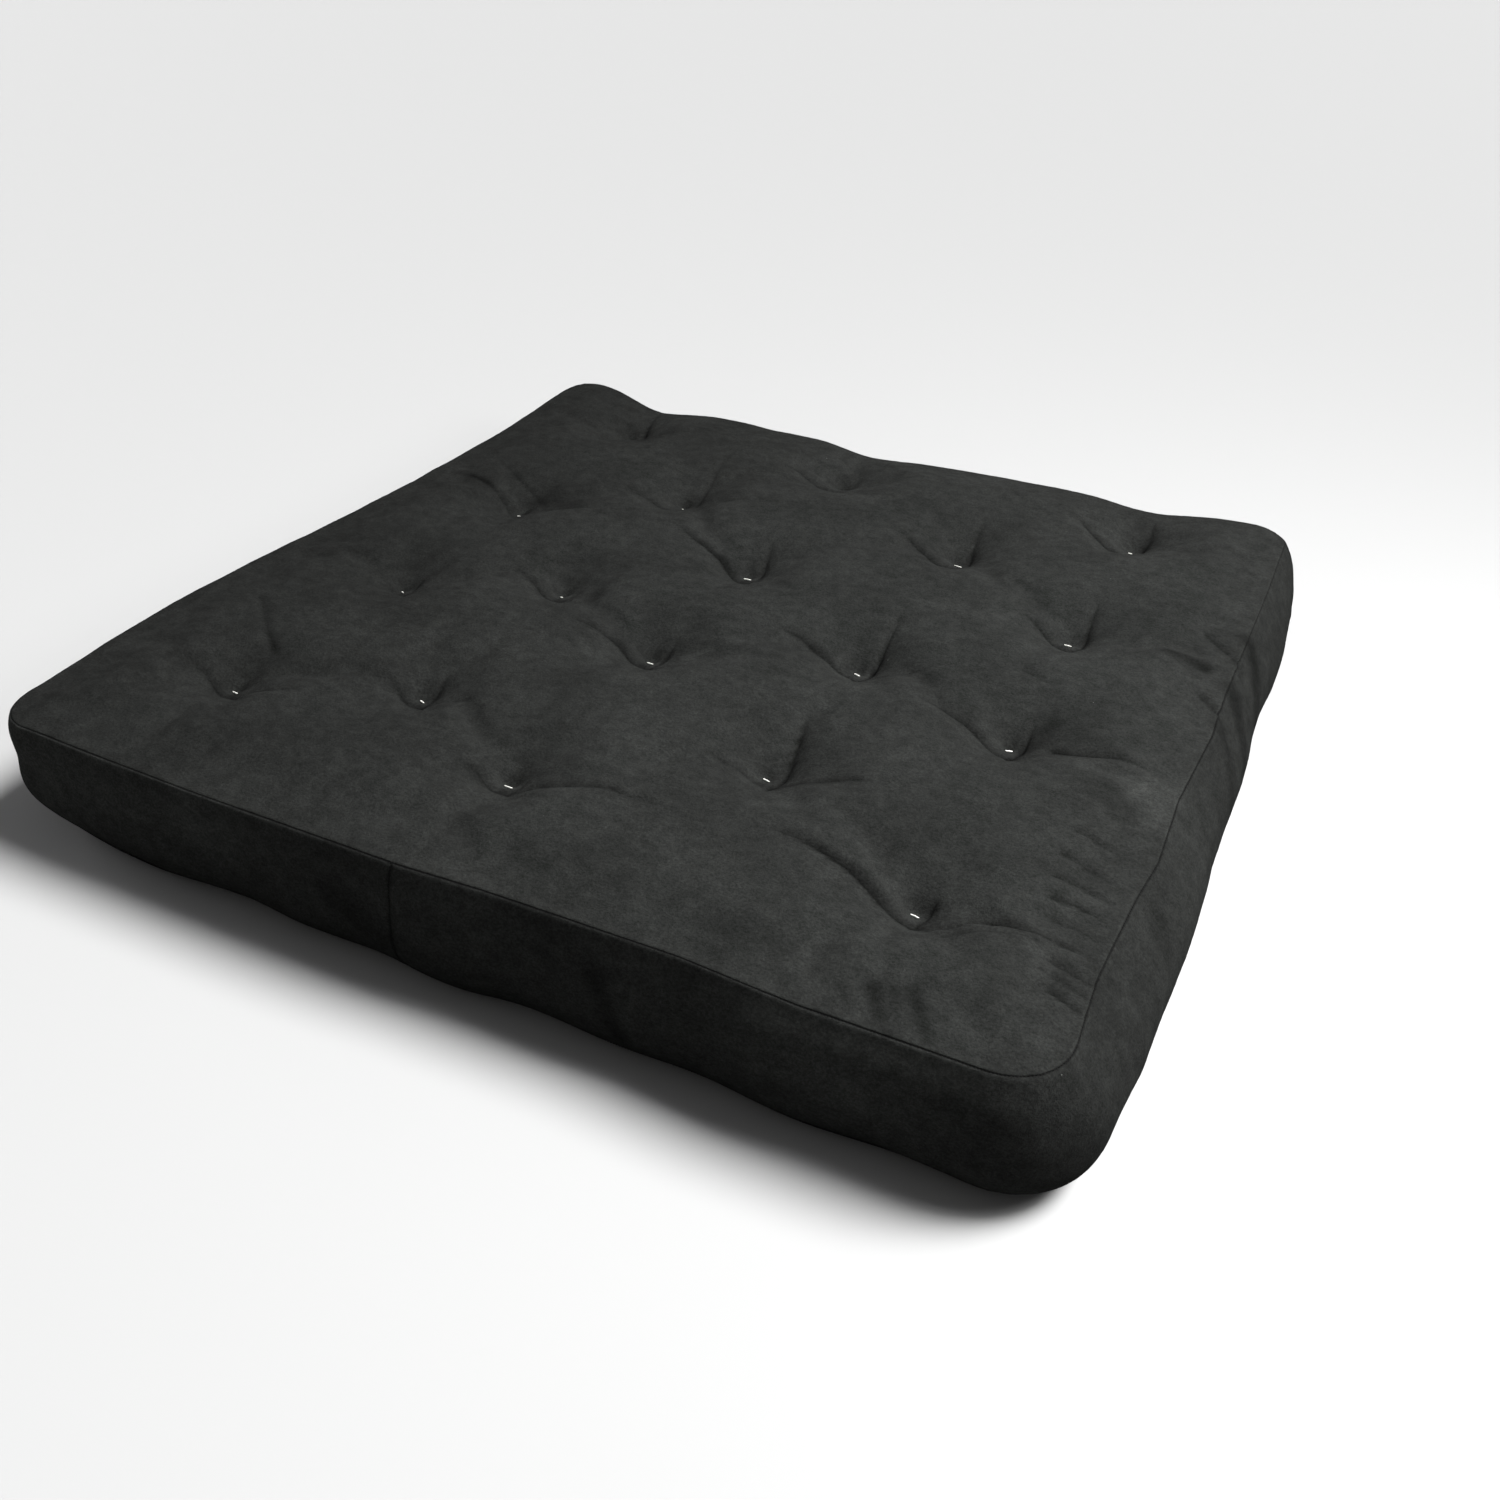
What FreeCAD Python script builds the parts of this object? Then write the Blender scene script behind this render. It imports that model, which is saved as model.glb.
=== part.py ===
import FreeCAD, Part
import os
import Sketcher
from FreeCAD import Rotation, Vector

# King-size tufted futon mattress, lying flat. Millimetres.
# Origin: centre of the underside. +X runs along the long side, +Y from the front side to the back
# side, +Z up. The mattress bends at its fold line, which runs along X, so every layer is made in a
# seat part (the -Y side of the fold) and a back part (the +Y side), with the fold's axis along the
# top face.

doc = FreeCAD.newDocument("futon_mattress")

SIZES = {
    "width": 2032,  # long side, 80 in
    "depth": 1930,  # short side, 76 in
    "height": 235,  # over the crown of the top panel
    "corner_radius": 130,  # corners in plan
    "edge_radius": 26,  # where the panels turn down into the boxing
    "cover": 1.5,  # suede cloth with its backing
    "barrier": 1.5,  # knitted fire barrier sock
    "batting": 38,  # upper and lower fibre pads
    "foam": 51,  # each foam slab
    "top_seam": 206,  # level of the seam between top panel and boxing
    "bottom_seam": 28.5,
    "seam_gap": 1.5,  # room that a line of stitching takes
    "join_place": -55,  # where the two boxing strips are joined, front and back
    "fold_place": 20,
    "fold_gap": 1,
    "column_pitch": 330,
    "row_pitch": 237,
    "pattern_left": -14,  # the middle column
    "pattern_front": 10,  # the middle row
    "cup_mouth": 55,  # radius of a tuft's hollow at the flat face
    "cup_floor": 14,
    "cup_top": 46,  # how deep the twine pulls the top face down
    "cup_upper": 30,  # the same, under the upper batting
    "cup_middle": 14,  # under the upper foam
    "cup_below": 8,  # above the lower foam, where the hollows open downwards
    "cup_lower": 16,
    "cup_bottom": 24,
    "twine": 1.25,  # radius of the tufting twine
    "twine_room": 0.25,  # clearance of the needle hole around the twine
    "stitch": 8,  # half the length of the stitch that shows
    "stitch_bend": 2,
    "knot": 4.5,
    "label_place": 560,
    "label_width": 60,
    "label_height": 95,
    "label_cloth": 0.4,
}

# Each tuft: its column and row in the staggered pattern, and how far the hand-set tuft is off it.
TUFTS = [
    (-2, -3, 5, 55), (0, -3, -30, 35), (2, -3, 30, 40),
    (-1, -2, 0, -50), (1, -2, 10, 15),
    (-2, -1, 25, 40), (0, -1, -30, 25), (2, -1, 15, 50),
    (-1, 0, 0, -60), (1, 0, 5, -65),
    (-2, 1, 15, 5), (0, 1, -30, -40), (2, 1, 0, -10),
    (-1, 2, 5, -30), (1, 2, 15, -10),
    (-2, 3, -15, 60), (0, 3, -45, 15), (2, 3, 0, 5),
]
SEAT_ROWS = (-3, -2, -1, 0)

sheet = doc.addObject("Spreadsheet::Sheet", "sizes")
for line, (alias, number) in enumerate(SIZES.items(), start=1):
    sheet.set(f"A{line}", alias)
    sheet.set(f"B{line}", str(number))
    sheet.setAlias(f"B{line}", alias)
doc.recompute()

nodes = []


def bind(thing, formulas):
    """Binds each property of thing to a formula over the sheet's cells."""
    for prop, formula in formulas.items():
        thing.setExpression(prop, str(formula))
    return thing


def block(name, left, right, front, back, low, high):
    """A box between six planes, each a formula."""
    made = doc.addObject("Part::Box", name)
    return bind(made, {
        "Length": f"({right}) - ({left})",
        "Width": f"({back}) - ({front})",
        "Height": f"({high}) - ({low})",
        "Placement.Base.x": left,
        "Placement.Base.y": front,
        "Placement.Base.z": low,
    })


def cut(name, base, tool):
    made = doc.addObject("Part::Cut", name)
    made.Base, made.Tool = base, tool
    return made


def fuse(name, base, tool):
    made = doc.addObject("Part::Fuse", name)
    made.Base, made.Tool = base, tool
    return made


def common(name, base, tool):
    made = doc.addObject("Part::Common", name)
    made.Base, made.Tool = base, tool
    return made


def group(name, members):
    made = doc.addObject("Part::Compound", name)
    made.Links = members
    return made


def node(name, made):
    """Gives a finished sub-part the name that its file takes."""
    made.Label = name
    nodes.append(made)
    return made


# Nested forms: the outer face of the cloth, of the fire barrier and of the core


def rounded_rectangle(sketch, left, right, low, high, radius):
    """Four arcs joined by four tangent lines; left to high are where the arcs have their centres."""
    turn = Part.Circle().LastParameter / 4
    centres = [(left, low), (right, low), (right, high), (left, high)]
    for corner, (x, y) in enumerate(centres):
        circle = Part.Circle(Vector(x, y, 0), Vector(0, 0, 1), radius)
        sketch.addGeometry(Part.ArcOfCircle(circle, (corner + 2) * turn, (corner + 3) * turn))
    for corner in range(4):
        after = (corner + 1) % 4
        ends = sketch.getPoint(corner, 2), sketch.getPoint(after, 1)
        line = sketch.addGeometry(Part.LineSegment(*ends))
        sketch.addConstraint(Sketcher.Constraint("Tangent", corner, 2, line, 1))
        sketch.addConstraint(Sketcher.Constraint("Tangent", line, 2, after, 1))
        level = "Horizontal" if corner % 2 == 0 else "Vertical"
        sketch.addConstraint(Sketcher.Constraint(level, line))
    for corner in range(1, 4):
        sketch.addConstraint(Sketcher.Constraint("Equal", 0, corner))


def drive(sketch, name, formula, *constraint):
    """Adds a named constraint to a sketch and binds it to a formula."""
    sketch.renameConstraint(sketch.addConstraint(Sketcher.Constraint(*constraint)), name)
    sketch.setExpression(f"Constraints.{name}", formula)


def origin_plane(body, role):
    """One of the three planes of a body's own origin."""
    return [(next(f for f in body.Origin.OriginFeatures if f.Role == role), "")]


def pillow_form(name, inset):
    """A block with round corners in plan and rounded top and bottom edges."""
    body = doc.addObject("PartDesign::Body", name)
    plan = body.newObject("Sketcher::SketchObject", name + "_plan")
    plan.AttachmentSupport = origin_plane(body, "XY_Plane")
    plan.MapMode = "FlatFace"
    plan.setExpression("AttachmentOffset.Base.z", inset)
    half_x = sheet.width / 2 - sheet.corner_radius
    half_y = sheet.depth / 2 - sheet.corner_radius
    radius = sheet.corner_radius
    rounded_rectangle(plan, -half_x, half_x, -half_y, half_y, radius)
    plan.addConstraint(Sketcher.Constraint("Symmetric", 0, 3, 2, 3, -1, 1))
    drive(plan, "radius", f"sizes.corner_radius - ({inset})", "Radius", 0, radius)
    drive(plan, "long_side", "sizes.width - 2 * sizes.corner_radius",
          "DistanceX", 0, 3, 1, 3, 2 * half_x)
    drive(plan, "short_side", "sizes.depth - 2 * sizes.corner_radius",
          "DistanceY", 1, 3, 2, 3, 2 * half_y)
    pad = body.newObject("PartDesign::Pad", name + "_pad")
    pad.Profile = plan
    pad.setExpression("Length", f"sizes.height - 2 * ({inset})")
    doc.recompute()
    ends = (pad.Shape.BoundBox.ZMin, pad.Shape.BoundBox.ZMax)
    flat = [
        f"Edge{i}"
        for i, edge in enumerate(pad.Shape.Edges, start=1)
        if edge.BoundBox.ZLength < sheet.seam_gap and edge.BoundBox.ZMin + 1 > ends[0]
        and min(abs(edge.CenterOfMass.z - end) for end in ends) < sheet.seam_gap
    ]
    fillet = body.newObject("PartDesign::Fillet", name + "_edges")
    fillet.Base = (pad, flat)
    fillet.setExpression("Radius", f"sizes.edge_radius - ({inset})")
    body.Tip = fillet
    doc.recompute()
    return body


outer_form = pillow_form("outer_form", "0")
barrier_form = pillow_form("barrier_form", "sizes.cover")
core_form = pillow_form("core_form", "sizes.cover + sizes.barrier")

# Tufts: places, hollows and needle holes


def tuft_at(tuft):
    """The formulas for a tuft's X and Y."""
    column, row, off_x, off_y = tuft
    return (
        f"sizes.pattern_left + {column} * sizes.column_pitch + {off_x}",
        f"sizes.pattern_front + {row} * sizes.row_pitch + {off_y}",
    )


def hollows(name, level, rise, opens_up):
    """The cone at every tuft between a flat level and the hollow's floor."""
    cones = []
    for number, tuft in enumerate(TUFTS, start=1):
        cone = doc.addObject("Part::Cone", f"{name}_{number}")
        x, y = tuft_at(tuft)
        bind(cone, {
            "Radius1": "sizes.cup_floor" if opens_up else "sizes.cup_mouth",
            "Radius2": "sizes.cup_mouth" if opens_up else "sizes.cup_floor",
            "Height": rise,
            "Placement.Base.x": x,
            "Placement.Base.y": y,
            "Placement.Base.z": f"({level}) - ({rise})" if opens_up else level,
        })
        cones.append(cone)
    return group(name, cones)


skins = "sizes.cover + sizes.barrier"
upper_level = f"sizes.height - ({skins}) - sizes.batting"
lower_level = f"{skins} + sizes.batting"

cups = {
    "cloth_top": hollows("cups_cloth_top", "sizes.height", "sizes.cup_top", True),
    "barrier_top": hollows("cups_barrier_top", "sizes.height - sizes.cover", "sizes.cup_top", True),
    "core_top": hollows("cups_core_top", f"sizes.height - ({skins})", "sizes.cup_top", True),
    "upper": hollows("cups_upper", upper_level, "sizes.cup_upper", True),
    "middle": hollows("cups_middle", f"{upper_level} - sizes.foam", "sizes.cup_middle", True),
    "below": hollows("cups_below", f"{lower_level} + sizes.foam", "sizes.cup_below", False),
    "lower": hollows("cups_lower", lower_level, "sizes.cup_lower", False),
    "core_bottom": hollows("cups_core_bottom", skins, "sizes.cup_bottom", False),
    "barrier_bottom": hollows("cups_barrier_bottom", "sizes.cover", "sizes.cup_bottom", False),
    "cloth_bottom": hollows("cups_cloth_bottom", "0", "sizes.cup_bottom", False),
}


def needle_holes():
    """Two holes right through at every tuft, one for each leg of its twine."""
    holes = []
    for number, tuft in enumerate(TUFTS, start=1):
        x, y = tuft_at(tuft)
        for side in (-1, 1):
            hole = doc.addObject("Part::Cylinder", f"needle_hole_{number}")
            bind(hole, {
                "Radius": "sizes.twine + sizes.twine_room",
                "Height": "sizes.height",
                "Placement.Base.x": f"{x} + {side} * sizes.stitch",
                "Placement.Base.y": y,
            })
            holes.append(hole)
    return group("needle_holes", holes)


pierced = needle_holes()

# Planes that divide the mattress

wide = ("-sizes.width", "sizes.width")
deep = ("-sizes.depth", "sizes.depth")
seat_side = block("seat_side", *wide, "-sizes.depth", "sizes.fold_place - sizes.fold_gap / 2",
                  "-1", "sizes.height + 1")
back_side = block("back_side", *wide, "sizes.fold_place + sizes.fold_gap / 2", "sizes.depth",
                  "-1", "sizes.height + 1")


def both_sides(name, whole):
    """The seat part and the back part of a layer."""
    node(name + "_seat", common(name + "_seat", whole, seat_side))
    node(name + "_back", common(name + "_back", whole, back_side))


def layer(name, low, high, adds=(), cuts=()):
    """One pad of the core: a slice of the core's form with the tufts' hollows pressed in."""
    made = common(name + "_slice", core_form, block(name + "_zone", *wide, *deep, low, high))
    for number, tool in enumerate(adds, start=1):
        made = fuse(f"{name}_pressed_{number}", made, cups[tool])
    for number, tool in enumerate(cuts, start=1):
        made = cut(f"{name}_hollowed_{number}", made, cups[tool])
    both_sides(name, cut(name + "_pierced", made, pierced))


# The core, from the bottom up

foam_low = lower_level
foam_high = f"{lower_level} + sizes.foam"
middle_high = f"{upper_level} - sizes.foam"
layer("lower_batting", skins, foam_low, adds=["lower"], cuts=["core_bottom"])
layer("lower_foam_slab", foam_low, foam_high, adds=["below"], cuts=["lower"])
layer("middle_batting", foam_high, middle_high, cuts=["middle", "below"])
layer("upper_foam_slab", middle_high, upper_level, adds=["middle"], cuts=["upper"])
layer("upper_batting", upper_level, f"sizes.height - ({skins})", adds=["upper"], cuts=["core_top"])

# The fire barrier sock

sock = cut("sock_shell", barrier_form, core_form)
for step, (add, away) in enumerate((("core_top", "barrier_top"), ("core_bottom", "barrier_bottom"))):
    sock = fuse(f"sock_pressed_{step}", sock, cups[add])
    sock = cut(f"sock_hollowed_{step}", sock, cups[away])
both_sides("fire_barrier_sock", cut("sock_pierced", sock, pierced))

# The suede cover: two panels, a boxing of two strips, and the stitching between them

cloth = cut("cover_shell", outer_form, barrier_form)
top_edge = "sizes.top_seam + sizes.seam_gap"
boxing_low = "sizes.bottom_seam + sizes.seam_gap"

top = common("top_tray", cloth, block("top_zone", *wide, *deep, top_edge, "sizes.height + 1"))
top = fuse("top_pressed", top, cups["barrier_top"])
top = cut("top_hollowed", top, cups["cloth_top"])
both_sides("cover_top_panel", cut("top_pierced", top, pierced))

base = common("base_tray", cloth, block("base_zone", *wide, *deep, "-1", "sizes.bottom_seam"))
base = fuse("base_pressed", base, cups["barrier_bottom"])
base = cut("base_hollowed", base, cups["cloth_bottom"])
both_sides("cover_bottom_panel", cut("base_pierced", base, pierced))

band_zone = block("band_zone", *wide, *deep, boxing_low, "sizes.top_seam")
band = common("boxing_band", cloth, band_zone)
join_left = "sizes.join_place - sizes.seam_gap / 2"
join_right = "sizes.join_place + sizes.seam_gap / 2"
span = (*deep, "-1", "sizes.height + 1")
left_zone = block("left_zone", "-sizes.width", join_left, *span)
right_zone = block("right_zone", join_right, "sizes.width", *span)
join_zone = block("join_zone", join_left, join_right, *span)
both_sides("boxing_left", common("left_band", band, left_zone))
both_sides("boxing_right", common("right_band", band, right_zone))
both_sides("boxing_join_stitching", common("join_band", band, join_zone))

top_seam_zone = block("top_seam_zone", *wide, *deep, "sizes.top_seam", top_edge)
both_sides("top_seam_stitching", common("top_seam_ring", cloth, top_seam_zone))
base_seam_zone = block("base_seam_zone", *wide, *deep, "sizes.bottom_seam", boxing_low)
both_sides("bottom_seam_stitching", common("base_seam_ring", cloth, base_seam_zone))

label = block(
    "care_label", "sizes.label_place", "sizes.label_place + sizes.label_width",
    "sizes.depth / 2", "sizes.depth / 2 + sizes.label_cloth",
    boxing_low, f"{boxing_low} + sizes.label_height",
)
node("care_label", label)

# Tufting twine: a closed loop through the core at each tuft, and the knot under it

lower_strand = "sizes.cup_bottom - sizes.knot - sizes.twine_room"
knot_hole = "sizes.twine + sizes.twine_room / 2"


def twine_loop():
    """One closed loop of twine: a round swept round a tall rectangle with rounded corners."""
    body = doc.addObject("PartDesign::Body", "twine_loop")
    path = body.newObject("Sketcher::SketchObject", "twine_path")
    path.AttachmentSupport = origin_plane(body, "XZ_Plane")
    path.MapMode = "FlatFace"
    bend = sheet.stitch_bend
    reach = sheet.stitch - bend
    low = sheet.cup_bottom - sheet.knot + bend
    high = sheet.height - sheet.cup_top + sheet.twine - bend
    rounded_rectangle(path, -reach, reach, low, high, bend)
    top_strand = "sizes.height - sizes.cup_top + sizes.twine + sizes.twine_room"
    drive(path, "bend", "sizes.stitch_bend", "Radius", 0, bend)
    drive(path, "left", "sizes.stitch - sizes.stitch_bend", "DistanceX", 0, 3, -1, 1, reach)
    drive(path, "right", "sizes.stitch - sizes.stitch_bend", "DistanceX", -1, 1, 1, 3, reach)
    drive(path, "low", f"{lower_strand} + sizes.stitch_bend", "DistanceY", -1, 1, 0, 3, low)
    drive(path, "high", f"{top_strand} - sizes.stitch_bend", "DistanceY", -1, 1, 2, 3, high)
    section = body.newObject("Sketcher::SketchObject", "twine_section")
    section.AttachmentSupport = origin_plane(body, "XY_Plane")
    section.MapMode = "FlatFace"
    section.setExpression("AttachmentOffset.Base.z", "sizes.height / 2")
    leg = sheet.stitch
    section.addGeometry(Part.Circle(Vector(leg, 0, 0), Vector(0, 0, 1), sheet.twine))
    section.addConstraint(Sketcher.Constraint("PointOnObject", 0, 3, -1))
    drive(section, "twine", "sizes.twine", "Radius", 0, sheet.twine)
    drive(section, "leg", "sizes.stitch", "DistanceX", -1, 1, 0, 3, leg)
    doc.recompute()
    pipe = body.newObject("PartDesign::AdditivePipe", "twine_pipe")
    pipe.Profile = section
    pipe.Spine = path
    body.Tip = pipe
    doc.recompute()
    return body


def tuft_knot():
    """The knot that closes a loop under the mattress: a turn of twine drawn tight on the strand."""
    turn = bind(doc.addObject("Part::Torus", "knot"), {
        "Radius1": f"(sizes.knot + {knot_hole}) / 2",
        "Radius2": f"(sizes.knot - ({knot_hole})) / 2",
        "Placement.Base.z": lower_strand,
    })
    turn.Placement.Rotation = Rotation(Vector(0, 1, 0), 90)
    return turn


def at_tufts(name, master):
    """A copy of master at every tuft: one node for the seat's tufts and one for the back's."""
    for side in ("seat", "back"):
        copies = []
        for number, tuft in enumerate(TUFTS, start=1):
            if (tuft[1] in SEAT_ROWS) == (side == "seat"):
                copy = doc.addObject("App::Link", f"{name}_{number}")
                copy.LinkedObject = master
                copy.LinkTransform = True
                x, y = tuft_at(tuft)
                bind(copy, {"Placement.Base.x": x, "Placement.Base.y": y})
                copies.append(copy)
        node(f"{name}_{side}", group(f"{name}_{side}", copies))


at_tufts("tuft_twine", twine_loop())
at_tufts("tuft_knots", tuft_knot())

doc.recompute()

# Every object has to be sound before anything is written

failed = [o.Name for o in doc.Objects if {"Invalid", "Error"} & set(o.State)]
if failed:
    raise RuntimeError(f"these objects failed: {failed}")
for made in nodes:
    if made.Shape.isNull() or not made.Shape.isValid() or not made.Shape.Solids:
        raise RuntimeError(f"{made.Label} has no sound solid")

os.makedirs("parts", exist_ok=True)
for made in nodes:
    made.Shape.exportStep(f"parts/{made.Label}.step")
    litres = made.Shape.Volume / 1e6
    print(f"{made.Label}: {len(made.Shape.Solids)} solids, {litres:.3f} litres")
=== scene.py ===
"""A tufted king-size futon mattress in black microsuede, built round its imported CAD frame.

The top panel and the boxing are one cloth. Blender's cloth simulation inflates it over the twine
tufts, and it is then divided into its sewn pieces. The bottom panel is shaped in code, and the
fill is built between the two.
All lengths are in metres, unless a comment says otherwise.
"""
import math

import bpy
import numpy as np
from mathutils.kdtree import KDTree
from mathutils import Matrix, Vector, noise


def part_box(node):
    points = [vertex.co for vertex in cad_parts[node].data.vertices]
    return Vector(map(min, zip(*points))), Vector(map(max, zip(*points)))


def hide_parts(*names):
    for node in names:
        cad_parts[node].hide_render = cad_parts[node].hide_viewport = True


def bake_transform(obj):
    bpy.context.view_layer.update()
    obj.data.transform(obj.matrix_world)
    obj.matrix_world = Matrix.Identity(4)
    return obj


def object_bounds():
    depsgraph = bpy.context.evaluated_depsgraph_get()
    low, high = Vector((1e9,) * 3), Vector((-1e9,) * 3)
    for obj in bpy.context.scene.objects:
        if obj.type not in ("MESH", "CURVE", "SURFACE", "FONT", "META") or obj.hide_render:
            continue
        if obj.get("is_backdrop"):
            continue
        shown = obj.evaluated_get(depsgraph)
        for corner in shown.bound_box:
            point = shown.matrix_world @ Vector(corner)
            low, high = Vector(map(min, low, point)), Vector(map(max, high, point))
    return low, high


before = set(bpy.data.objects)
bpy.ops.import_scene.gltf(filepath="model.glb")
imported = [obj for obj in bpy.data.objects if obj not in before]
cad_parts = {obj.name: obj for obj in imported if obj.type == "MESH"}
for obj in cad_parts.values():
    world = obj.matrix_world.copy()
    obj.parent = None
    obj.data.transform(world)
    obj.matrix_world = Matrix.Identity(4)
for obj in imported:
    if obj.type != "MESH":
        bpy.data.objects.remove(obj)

cad_low, cad_high = (np.array(corner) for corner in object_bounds())
random = np.random.default_rng(7)

# ---------------- camera

LENS = 33.485
CAMERA_PLACE = Vector((1.1726, -2.1826, 1.5267))
CAMERA_YAW = math.radians(-26.842)
CAMERA_PITCH = math.radians(33.489)
CAMERA_ROLL = math.radians(0.352)

camera = bpy.data.objects.new("camera", bpy.data.cameras.new("camera"))
camera.data.lens = LENS
camera.data.clip_end = 200
forward = Vector((
    math.sin(CAMERA_YAW) * math.cos(CAMERA_PITCH),
    math.cos(CAMERA_YAW) * math.cos(CAMERA_PITCH),
    -math.sin(CAMERA_PITCH),
))
right = Vector((math.cos(CAMERA_YAW), -math.sin(CAMERA_YAW), 0))
level = Matrix((right, right.cross(forward), -forward)).transposed().to_4x4()
camera.matrix_world = (
    Matrix.Translation(CAMERA_PLACE) @ level @ Matrix.Rotation(CAMERA_ROLL, 4, "Z")
)
bpy.context.scene.collection.objects.link(camera)
bpy.context.scene.camera = camera

# ---------------- sizes, from the frame

top_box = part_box("cover_top_panel_seat")
HALF_X, HALF_Y = cad_high[0], cad_high[1]
HEIGHT = cad_high[2]

STEP = 0.0135  # between threads of the simulated cloth
SEAM_ROW = 0.006  # the rows on each side of a seam
GRID_GIVE = 0.06  # how far round a tuft the grid moves to meet it
SEAM_INSET = np.array([0.056, 0.030])  # of the top seam, from where the boxing bulges most
SEAM_LEVEL = top_box[1].z - 0.008
SEAM_RADIUS = 0.09
BULGE_RADIUS = 0.13
BASE_LEVEL = 0.020  # of the bottom seam
BASE_INSET = 0.022
BOXING_ROWS = 14
BULGE_SHARE = 0.6  # how far down the boxing bulges most, as a share of its height
TUCK_SHARE = 0.7  # where it starts to turn in towards the bottom seam
TUCK_SPAN = 0.3
CROWN = 0.232
CEILING = 0.238  # the cloth hardly rises above this
ABOVE_CEILING = 0.010  # the most that it can
SHOULDER = 0.060  # how far the top panel takes to reach its crown
TUFT_DEPTH = 0.052
HOLLOW_REACH = 0.04
SIDE_HOLD = 0.8  # how firmly the core holds the boxing, and the top panel beside its seam
SEAM_HOLD = 0.92
HOLD_REACH = 0.11  # how far from the seam the core still holds the top panel
LEAN_REACH = 0.16  # how far from the seam the top panel still leans out with it
# where a side's and a corner's own reach starts and is whole, as shares of the way out
SIDE_SHARES = (0.80, 0.94)
CORNER_SHARES = (0.66, 0.93)
TOP_LEAN_END, BASE_LEAN_START = 0.45, 0.60  # as shares of the way down the boxing
WAVE = 0.004  # how far the slack cloth of the boxing waves in and out
BACK_SLACK = -0.020  # how far the right half of the back lies in
# how far the top seam stands out from its even line, along each side: place and distance
SEAM_REACH = {
    "front": [(-0.82, 0.012), (-0.45, 0.018), (-0.04, 0.016), (0.11, 0.007), (0.43, 0.000),
              (0.62, 0.011), (0.87, 0.008)],
    "right": [(-0.84, 0.010), (-0.71, 0.000), (-0.53, 0.004), (-0.42, 0.013), (-0.24, 0.004),
              (-0.02, 0.012), (0.12, 0.004), (0.60, 0.000), (0.90, -0.010)],
    "back": [(-0.90, 0.015), (-0.46, 0.012), (-0.22, 0.000), (0.03, -0.032), (0.32, -0.030),
             (0.90, -0.024)],
    "left": [(-0.82, -0.002), (-0.66, 0.014), (-0.48, 0.026), (-0.27, 0.020), (-0.03, 0.002),
             (0.24, -0.010), (0.53, -0.004), (0.85, 0.008)],
}
# how much further than the others the right side bulges: place and distance
RIGHT_BULGE = [(-0.93, 0.016), (-0.72, 0.036), (-0.30, 0.030), (0.20, 0.012), (0.50, 0.004),
               (0.90, 0.000)]
# how far each corner stands out in X and Y at the top seam, at the bulge and at the bottom seam
CORNER_REACH = {
    (1, -1): ((0, 0), (-0.002, 0.002), (0.018, 0.000)),
    (-1, -1): ((-0.008, -0.004), (-0.024, -0.018), (-0.036, -0.034)),
    (1, 1): ((0, 0), (-0.014, -0.010), (0, 0)),
    (-1, 1): ((0.004, 0.050), (0.012, 0.045), (0, 0.010)),
}
PUFFED_CORNER = (-0.92, 0.92, 0.016, 0.16)  # back left: where, how much higher, how wide
BACK_DIP = 0.016  # how far the back edge sinks behind a tuft
BACK_DIP_WIDTH = 0.10
BACK_DIP_FROM, BACK_DIP_TO = 0.60, 0.90  # in Y


def tufts():
    """The plan place of each tuft, from the loops of twine in the frame."""
    places = []
    for node in ("tuft_twine_seat", "tuft_twine_back"):
        points = np.array([v.co[:2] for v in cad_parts[node].data.vertices])
        while len(points):
            near = np.linalg.norm(points - points[0], axis=1) < 4 * STEP
            places.append((points[near].min(0) + points[near].max(0)) / 2)
            points = points[~near]
    return np.array(places)


TUFTS = tufts()

# ---------------- the cloth's grid


def threads(half):
    """Grid lines across a panel, with a narrow row beside each seam."""
    inside = half - SEAM_ROW
    count = 2 * round(inside / STEP)
    return np.concatenate([[-half], np.linspace(-inside, inside, count + 1), [half]])


def rounded(x, y, half_x, half_y, radius):
    """Bends the corners of a grid round, ring by ring, without cutting any of it off."""
    gap_x, gap_y = half_x - np.abs(x), half_y - np.abs(y)
    ring = np.minimum(gap_x, gap_y)
    bend = np.maximum(radius - ring, 1e-9)
    along = np.abs(gap_x - gap_y)
    turn = np.clip(1 - along / bend, 0, 1) * math.pi / 4
    angle = np.where(gap_x <= gap_y, turn, math.pi / 2 - turn)
    in_corner = along < bend
    corner_x = half_x - ring - bend + bend * np.cos(angle)
    corner_y = half_y - ring - bend + bend * np.sin(angle)
    return (
        np.where(in_corner, np.sign(x) * corner_x, x),
        np.where(in_corner, np.sign(y) * corner_y, y),
    )


panel_x, panel_y = HALF_X - SEAM_INSET[0], HALF_Y - SEAM_INSET[1]
grid_x, grid_y = threads(panel_x), threads(panel_y)
COLUMNS, ROWS = len(grid_x), len(grid_y)


def number(column, row):
    """The number of a point of the top panel."""
    return row * COLUMNS + column


def outline(columns, rows):
    """The outer places of a grid as (column, row), anticlockwise from the front left."""
    return (
        [(c, rows[0]) for c in columns[:-1]]
        + [(columns[-1], r) for r in rows[:-1]]
        + [(c, rows[-1]) for c in columns[:0:-1]]
        + [(columns[0], r) for r in rows[:0:-1]]
    )


RIM = [number(*place) for place in outline(range(COLUMNS), range(ROWS))]
# the fill's coarser grid keeps every second vertex
FILL_COLUMNS, FILL_ROWS = range(1, COLUMNS, 2), range(1, ROWS, 2)
FILL_GRID = [number(c, r) for r in FILL_ROWS for c in FILL_COLUMNS]
flat_x, flat_y = (a.ravel() for a in np.meshgrid(grid_x, grid_y))


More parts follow.
